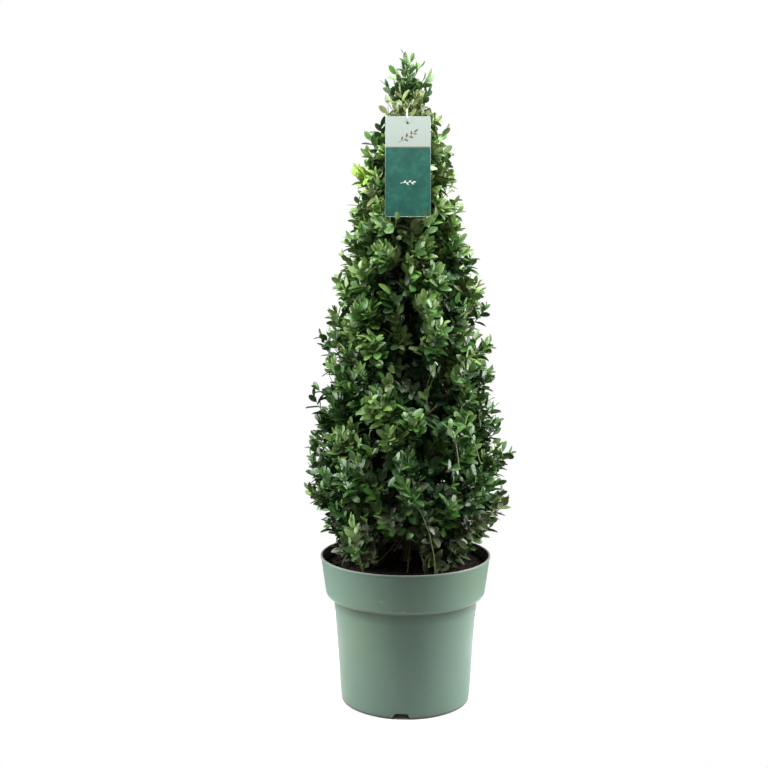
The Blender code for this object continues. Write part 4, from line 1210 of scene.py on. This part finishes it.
def grow_shoots(mass, branches, rng):
    """The shoots of a mass as curves from its branches to the clipped surface, and each one's branch."""
    start, middle, end, surface = branches
    layer, azimuth = surface_targets(mass, SHOOT_SPACING, rng)
    target = layer_point(layer, azimuth, 1.0)
    near = np.linalg.norm(target[:, None] - surface[None], axis=2)
    branch = np.argmin(near + rng.uniform(0, SHOOT_MIX, near.shape), axis=1)
    from_middle = np.linalg.norm(target - surface[branch], axis=1) / (BRANCH_SPACING / 2)
    step = CLUMP_STEP * rng.normal(size=len(start))[branch] - CLUMP_ROUND * np.minimum(from_middle**2, 1.4)
    step += CLUMP_ROUND * 0.4 - SHOOT_BACK * rng.uniform(0, 1, len(layer)) ** 2
    out = unit(target * [1, 1, 0])
    target = target + (surface[branch] - target) * CLUMP_PULL
    target = swell(target) + out * (step - LEAF_REACH)[:, None]
    share = rng.uniform(*SHOOT_ROOTS, len(layer))
    root, _ = along_curve(share, start[branch], middle[branch], end[branch])
    change = np.interp(target[:, 2], RISE_TURNS, RISE_CHANGE)
    steep = np.radians(rng.uniform(*SHOOT_RISE, len(layer)) + change)[:, None]
    sideways = np.cross([0, 0, 1], out) * rng.normal(0, SHOOT_ASIDE, (len(layer), 1))
    heading = unit(out * np.cos(steep) + [0, 0, 1] * np.sin(steep) + sideways)
    length = np.linalg.norm(target - root, axis=1, keepdims=True)
    return root, target - heading * length * 0.5, target, branch


def single_shoots(mass, branches, rng):
    """The named shoots of a mass and their shades.

    A shoot of the tuft leaves the mass's stem a little below its own end, a stray one leaves the nearest
    branch, and one whose stem shows has a curve of its own.
    """
    if mass.name == "tip":
        target = TIP_SHOOTS
        shade = TIP_SHADES[rng.integers(0, len(TIP_SHADES), len(target))]
        off = np.abs(mass.stem[None, :, 2] - target[:, None, 2] + TIP_SHOOT_DROP)
        root = mass.stem[np.argmin(off, axis=1)]
    else:
        places = np.array(STRAY_SHOOTS.get(mass.name, ()), float).reshape(-1, 4)
        azimuth, reach, height, shade = places.T
        target = polar(reach, np.radians(azimuth), height)
        _, middles, ends, _ = branches
        root = (0.4 * middles + 0.6 * ends)[np.argmin(np.linalg.norm(target[:, None] - ends, axis=2), axis=1)]
    length = np.linalg.norm(target - root, axis=1, keepdims=True)
    heading = unit(unit(target * [1, 1, 0]) * 0.6 + [0, 0, 1])
    curves = (root, target - heading * length * 0.5, target)
    shown = SHOWN_SHOOTS.get(mass.name, ())
    own = [np.array([row[k] for row in shown]).reshape(-1, 3) for k in (1, 2, 3)]
    shade = np.concatenate([shade, [row[0] for row in shown]]).astype(int)
    return tuple(np.concatenate(pair) for pair in zip(curves, own)), shade


def stand_leaves(curves, spray, rng):
    """A spray's leaves in golden order round the ends of shoots, numbered from the newest.

    Each leaf leans out from its shoot, more the older it is, and turns its face up and outwards.
    """
    start, middle, end = curves
    length = np.linalg.norm(end - start, axis=1)
    number = np.arange(spray.count)
    back = np.minimum(spray.step, 0.9 * length / spray.count)[:, None] * (number[None] + 0.15)
    t = np.clip(1 - back / length[:, None], 0.03, 1.0).ravel()
    owner = np.repeat(np.arange(len(start)), spray.count)
    foot, along = along_curve(t, start[owner], middle[owner], end[owner])
    side = unit(np.cross(along, [0.2, 0.1, 1.0]))
    other = np.cross(along, side)
    turn = number[None] * GOLDEN_ANGLE + rng.uniform(0, 2 * math.pi, (len(start), 1))
    turn = (turn + rng.normal(0, TURN_SPREAD, turn.shape)).ravel()[:, None]
    round_it = side * np.cos(turn) + other * np.sin(turn)
    share = np.tile(np.minimum(number / 3, 1.0), len(start))
    lean = np.interp(share, (0, 1), spray.leans) + rng.normal(0, LEAN_SPREAD, len(t))
    lean = np.radians(lean)[:, None]
    direction = unit(along * np.cos(lean) + round_it * np.sin(lean) + [0, 0, LEAF_LIFT])
    outward = unit(foot * [1, 1, 0])
    face = along + [0, 0, FACE_UP] + outward * FACE_OUT + FACE_SPREAD * rng.normal(size=foot.shape)
    size = LEAF_LENGTH * np.interp(share, (0, 1), spray.sizes) * rng.uniform(*LEAF_SIZES, len(t))
    return Grown(foot, direction, face, size, owner, np.tile(number, len(start)))


def leaf_blades(grown, width, cup, curl):
    """Leaf blades as (leaf, 18, xyz) points: foot, tip, then left, right, top and under side of each row.

    The half width is a power of a sine along the leaf. The edges rise from the midrib by the cup, and the
    leaf bends back by the curl times the square of the way along it.
    """
    across = unit(np.cross(unit(grown.face), grown.direction))
    face = np.cross(grown.direction, across)
    length = grown.length[:, None]
    half = np.sin(math.pi * LEAF_ROWS**1.05) ** 0.60 / 2
    rows = len(LEAF_ROWS)
    t = np.concatenate([[0, 1], np.repeat(LEAF_ROWS, 4)])
    aside = np.concatenate([[0, 0], (half[:, None] * [1, -1, 0, 0]).ravel()])
    skin = np.concatenate([[0, 0], np.tile([0, 0, 0.5, -0.5], rows)])
    x = length * t
    y = width[:, None] * aside
    z = np.abs(y) * cup[:, None] - curl[:, None] * length * t**2 + LEAF_THICKNESS * skin
    place = x[..., None] * grown.direction[:, None] + y[..., None] * across[:, None]
    return grown.foot[:, None] + (place + z[..., None] * face[:, None])


def leaf_faces(shades):
    """The faces of blades of these shades, and each face's finish: twice the shade, one more underneath."""
    rows = len(LEAF_ROWS)
    left, right, top, under = (2 + 4 * np.arange(rows) + k for k in range(4))
    quads, fans = [], []
    for a, b in ((right, top), (top, left), (under, right), (left, under)):
        quads.append(np.stack([a[:-1], a[1:], b[1:], b[:-1]], axis=1))
        fans.append([[0, a[0], b[0]], [a[-1], 1, b[-1]]])
    step = np.arange(len(shades))[:, None, None] * (2 + 4 * rows)
    faces, finish_of = [], []
    for one in (np.concatenate(quads), np.concatenate(fans)):
        faces.append((one + step).reshape(-1, one.shape[1]))
        finish_of.append((2 * shades[:, None] + (np.arange(len(one)) >= len(one) // 2)).ravel())
    return *faces, np.concatenate(finish_of)


def card_place(points):
    """How far across, down and out from the card's middle plane each point lies."""
    sine, cosine = math.sin(TAG_TILT), math.cos(TAG_TILT)
    x, y, z = np.moveaxis(points - TAG_TOP, -1, 0)
    return x, -y * sine - z * cosine, -y * cosine + z * sine


def has_room(points, soil_room):
    """Which leaves or shoots, as (one, point, xyz), keep clear of the card, the soil and the pot's wall.

    Only the card's foot may be lapped from in front, and the hollows and the gaps stay empty.
    """
    across, down, out = card_place(points)
    over = (np.abs(across) < TAG_WIDTH / 2 + CARD_ROOM) & (down > -CARD_ROOM)
    over &= down < TAG_HEIGHT + CARD_ROOM
    behind = (out < -CARD_ROOM).all(axis=1)
    in_front = (out > CARD_ROOM).all(axis=1) & ~(over & (down < TAG_HEIGHT - CARD_LAPPED)).any(axis=1)
    radius = np.hypot(points[..., 0], points[..., 1])
    above_soil = (points[..., 2] > soil_height(radius) + soil_room).all(axis=1)
    in_pot = (points[..., 2] < POT_HEIGHT + POT_ROOM) & (radius > RIM_RADIUS - 2 * POT_ROOM)
    clear_of_card = ~over.any(axis=1) | behind | in_front
    from_hollows = np.linalg.norm((points[..., None, :] - HOLLOWS[:, :3]) / HOLLOWS[:, 3:], axis=-1)
    lines = unit(np.stack([GAPS[:, 0], 0 * GAPS[:, 0], GAPS[:, 1]], axis=1) - GAP_FOCUS)
    from_focus = points[:, ::3] - GAP_FOCUS
    off_line = (from_focus**2).sum(axis=-1, keepdims=True) - (from_focus @ lines.T) ** 2
    clear = (from_hollows > 1).all(axis=(1, 2)) & (off_line > GAPS[:, 2] ** 2).all(axis=(1, 2))
    return clear_of_card & above_soil & ~in_pot.any(axis=1) & clear


GREENS = (
    ("deep", "#2B4E22", "#516F44"),
    ("middle", "#4B7632", "#738F5B"),
    ("fresh", "#6C8C48", "#8EA26C"),
    ("olive", "#758650", "#959F73"),
    ("lime", "#8FAE4B", "#A4BC6E"),
    ("dull", "#4A5738", "#647051"),
)
# Shares of the first three greens among the sprays, below the first of two heights and above the second
LOW_SHARES = np.array([0.88, 0.12, 0.00])
HIGH_SHARES = np.array([0.00, 0.36, 0.64])
SHARES_TURN = (0.27, 0.62)
# The share of olive sprays in their place, between two heights: the top has had the most sun
OLIVE = 3
OLIVE_TURN = (0.58, 0.66)
OLIVE_SHARE = (0.02, 0.55)
SAME_ON_BRANCH = 0.5
MOST_BRANCHES = 999
# The shade that the newest leaves of a shoot have, by the shoot's own, and how many leaves are new
NEWER = np.array([1, 2, 2, 2, 4, 5])
NEW_LEAVES = 2
DULL = 5
DULL_BELOW = 0.26
# The oldest leaves, low down, have lost their green: the dull share of the sprays between two heights
SKIRT_TURN = (0.20, 0.30)
SKIRT_DULL = (0.95, 0.00)
SHOOT_GREEN = "#5D6A37"
TWIG_TAN = "#6A5A3E"
SEED = 100
CORE_SEED = 200
GROUPS = {
    "skirt_left": ("lower_left", "lower_back_left"),
    "skirt_front": ("lower_front",),
    "skirt_right": ("lower_right", "lower_back_right"),
    "middle_front": ("middle_front_left", "middle_front_right"),
    "middle_back": ("middle_back_right", "middle_back_left"),
    "top": ("upper_left", "upper_right", "upper_back", "tip"),
}

leaf_greens = []
for shade, above, below in GREENS:
    glossy = {"Coat Weight": 0.12, "Coat Roughness": 0.30}
    leaf_greens.append(new_finish(f"holly leaf above, {shade}", above, 0.38, glossy))
    leaf_greens.append(new_finish(f"holly leaf below, {shade}", below, 0.65, {"Specular IOR Level": 0.2}))
twig_barks = (new_finish("green shoot bark", SHOOT_GREEN, 0.6), new_finish("tan twig bark", TWIG_TAN, 0.8))


def spray_shades(branch, height, rng):
    """The green of each shoot: by shares that go over from the lower to the upper ones with its height.

    Some shoots share their branch's draw, so that fresh and old sprays stand in groups.
    """
    up = np.interp(height, SHARES_TURN, (0, 1))[:, None]
    shares = np.cumsum(LOW_SHARES + (HIGH_SHARES - LOW_SHARES) * up, axis=1)
    own = rng.uniform(0, 1, len(branch))
    is_shared = rng.uniform(0, 1, len(branch)) < SAME_ON_BRANCH
    draw = np.where(is_shared, rng.uniform(0, 1, MOST_BRANCHES)[branch], own)
    shade = np.minimum((shares < draw[:, None]).sum(axis=1), len(LOW_SHARES) - 1)
    shade = np.where(draw < np.interp(height, SKIRT_TURN, SKIRT_DULL), DULL, shade)
    is_olive = rng.uniform(0, 1, len(branch)) < np.interp(height, OLIVE_TURN, OLIVE_SHARE)
    return np.where(is_olive, OLIVE, shade)


def leaf_shades(grown, shade):
    """The shades of leaves from those of their shoots: the newest ones have the shade that goes with it."""
    old = shade[grown.shoot]
    return np.where(grown.number < NEW_LEAVES, NEWER[old], old)


leaves, woods = {}, {}
for number, mass in enumerate(all_masses()):
    rng = np.random.default_rng(SEED + number)
    branches = grow_branches(mass, rng)
    *shoots, branch = grow_shoots(mass, branches, rng)
    singles, single_shade = single_shoots(mass, branches, rng)
    shade = spray_shades(branch, shoots[2][:, 2], rng)
    is_sparse = rng.uniform(0, 1, len(branch)) < SPARSE_SHARE
    shoots[2] = shoots[2] + unit(shoots[2] * [1, 1, 0]) * (SPARSE_REACH * is_sparse)[:, None]
    dense, sparse = ([part[chosen] for part in shoots] for chosen in (~is_sparse, is_sparse))
    twigs = core_twigs(branches)
    outer = stand_leaves(dense, ON_SHOOT, rng)
    spread = stand_leaves(sparse, ON_SPARSE_SHOOT, rng)
    inner = stand_leaves(branches[:3], ON_BRANCH, rng)
    thin = stand_leaves(singles, ON_SINGLE_SHOOT, rng)
    core = stand_leaves(twigs, ON_CORE_TWIG, np.random.default_rng(CORE_SEED + number))
    shades = [leaf_shades(outer, shade[~is_sparse]), leaf_shades(spread, shade[is_sparse])]
    shades += [np.where(inner.foot[:, 2] < DULL_BELOW, DULL, 0), single_shade[thin.shoot]]
    shades = np.concatenate([*shades, np.zeros(len(core.foot), int)])
    grown = Grown(*(np.concatenate(parts) for parts in zip(outer, spread, inner, thin, core)))
    width = grown.length * LEAF_WIDTH_SHARE * rng.uniform(*LEAF_WIDTHS, len(shades))
    cup, curl = rng.uniform(*LEAF_CUPS, len(shades)), rng.uniform(*LEAF_CURLS, len(shades))
    blades = leaf_blades(grown, width, cup, curl)
    keep = has_room(blades, SOIL_ROOM)
    leaves[mass.name] = (blades[keep], shades[keep])
    shoot_paths = np.concatenate([curve(*shoots, 5), curve(*singles, 5)])
    shoot_paths = shoot_paths[has_room(shoot_paths, -SOIL_LUMP)]
    branch_paths = np.concatenate([curve(*branches[:3], 7), curve(*twigs, 7)])
    woods[mass.name] = (shoot_paths, branch_paths, resampled(mass.stem, STEM_STEP)[None])


def leaf_piece(name, mass_names):
    """One piece of all the leaves of these masses, with the shade of each leaf's spray."""
    blades, shades = (np.concatenate(part) for part in zip(*(leaves[mass] for mass in mass_names)))
    quads, fans, finish_of = leaf_faces(shades)
    return new_piece(name, blades.reshape(-1, 3), quads, fans, leaf_greens, finish_of, sharp=75.0)


def twig_piece(name, mass_names):
    """One piece of the shoots, branches and stems of these masses, each a tapering tube."""
    parts, finishes = [], []
    for mass in mass_names:
        for paths, (foot, tip, sides, finish) in zip(woods[mass], TWIG_TUBES):
            radii = np.broadcast_to(np.linspace(foot, tip, paths.shape[1]), paths.shape[:2])
            parts.append(skins(tube_rings(paths, radii, sides), paths[:, 0], paths[:, -1]))
            finishes.append(finish)
    finish_of = np.concatenate([np.repeat(finishes, [len(part[kind]) for part in parts]) for kind in (1, 2)])
    return new_piece(name, *joined(parts), twig_barks, finish_of, sharp=60.0)


for group, mass_names in GROUPS.items():
    pieces = {"leaves": leaf_piece(f"leaves_{group}", mass_names)}
    pieces["bark"] = twig_piece(f"twigs_{group}", mass_names)
    for slot, piece in pieces.items():
        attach(piece, "root")
        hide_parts(*(f"foliage_{mass}" for mass in mass_names))


# Studio. A white round table in a white room, a softbox at each side that leaves the front's middle darker,
# a smaller one above and in front, and a lens that stands a step back and looks a little down.

CAMERA_DISTANCE = 1.487
CAMERA_HEIGHT = 0.555
CAMERA_PITCH = 3.75
CAMERA_YAW = 1.02
CAMERA_LENS = 57.02
CAMERA_SHIFT = -0.0703
# Softboxes: place, width and height, power
SOFTBOXES = {
    "left": ((-1.00, -0.10, 0.74), (0.7, 1.3), 26.0),
    "right": ((1.00, 0.05, 0.74), (0.7, 1.3), 31.5),
    "top": ((0.0, -0.13, 1.20), (0.5, 0.5), 14.0),
}
AIM_HEIGHT = 0.40
ROOM_AXIS = (0.0, 0.85, 0.35)
ROOM_DIM = 0.15
ROOM_BRIGHT = 0.40
TABLE_RADIUS = 0.38
TABLE_SIDES = 96
TABLE_THICKNESS = 0.0005
TABLE_WHITE = "#F6F6F6"
TABLE_NEAR = "#7C7C7C"
TABLE_FAR = "#303030"
BOUNCE_FADES = (0.10, 0.17)

# The table throws its light back only near the pot, as if it stood in a larger and darker room.
table_finish = new_finish("white laminate table", TABLE_WHITE, 0.9)
place = object_place(table_finish)
from_pot = add_node(table_finish, "VectorMath", {0: place}, operation="LENGTH").outputs["Value"]
bounce = blended(table_finish, ranged(table_finish, from_pot, *BOUNCE_FADES), TABLE_NEAR, TABLE_FAR)
ray = add_node(table_finish, "LightPath").outputs["Is Diffuse Ray"]
feed(table_finish, "Base Color", blended(table_finish, ray, TABLE_WHITE, bounce))
table_rings = polar(TABLE_RADIUS, full_turn(TABLE_SIDES), np.array([[-TABLE_THICKNESS], [0.0]]) - CLEAR)
table_ends = np.array([[0, 0, -TABLE_THICKNESS - CLEAR], [0, 0, -CLEAR]])
table = new_piece("round_table", *skins(table_rings[None], table_ends[:1], table_ends[1:]), (table_finish,))


for name, (place, size, power) in SOFTBOXES.items():
    light = bpy.data.lights.new(f"{name}_softbox", "AREA")
    light.shape = "RECTANGLE"
    light.size, light.size_y = size
    light.energy = power
    softbox = bpy.data.objects.new(f"{name}_softbox", light)
    aim = np.array([0, 0, AIM_HEIGHT]) - place
    level = math.hypot(aim[0], aim[1])
    softbox.rotation_euler = (math.pi / 2 + math.atan2(aim[2], level), 0, math.atan2(-aim[0], aim[1]))
    softbox.location = place
    bpy.context.scene.collection.objects.link(softbox)

room = bpy.data.worlds.new("white room")
room.use_nodes = True
bpy.context.scene.world = room
heading = add_node(room, "TexCoord").outputs["Generated"]
axis_share = add_node(room, "VectorMath", {0: heading, 1: ROOM_AXIS}, operation="DOT_PRODUCT")
dimmed = ranged(room, axis_share.outputs["Value"], -1.0, 1.0, ROOM_DIM, ROOM_BRIGHT)
to_lens = add_node(room, "LightPath").outputs["Is Camera Ray"]
backdrop = room.node_tree.nodes["Background"]
backdrop.inputs["Color"].default_value = (1, 1, 1, 1)
room.node_tree.links.new(ranged(room, to_lens, 0.0, 1.0, dimmed, 1.0), backdrop.inputs["Strength"])

lens = bpy.data.cameras.new("camera")
lens.lens = CAMERA_LENS
lens.sensor_width = 36.0
lens.shift_y = CAMERA_SHIFT
camera = bpy.data.objects.new("camera", lens)
camera.location = (0, -CAMERA_DISTANCE, CAMERA_HEIGHT)
camera.rotation_euler = (math.radians(90 - CAMERA_PITCH), 0, math.radians(CAMERA_YAW))
bpy.context.scene.collection.objects.link(camera)
bpy.context.scene.camera = camera
bpy.context.scene.view_settings.view_transform = "Standard"
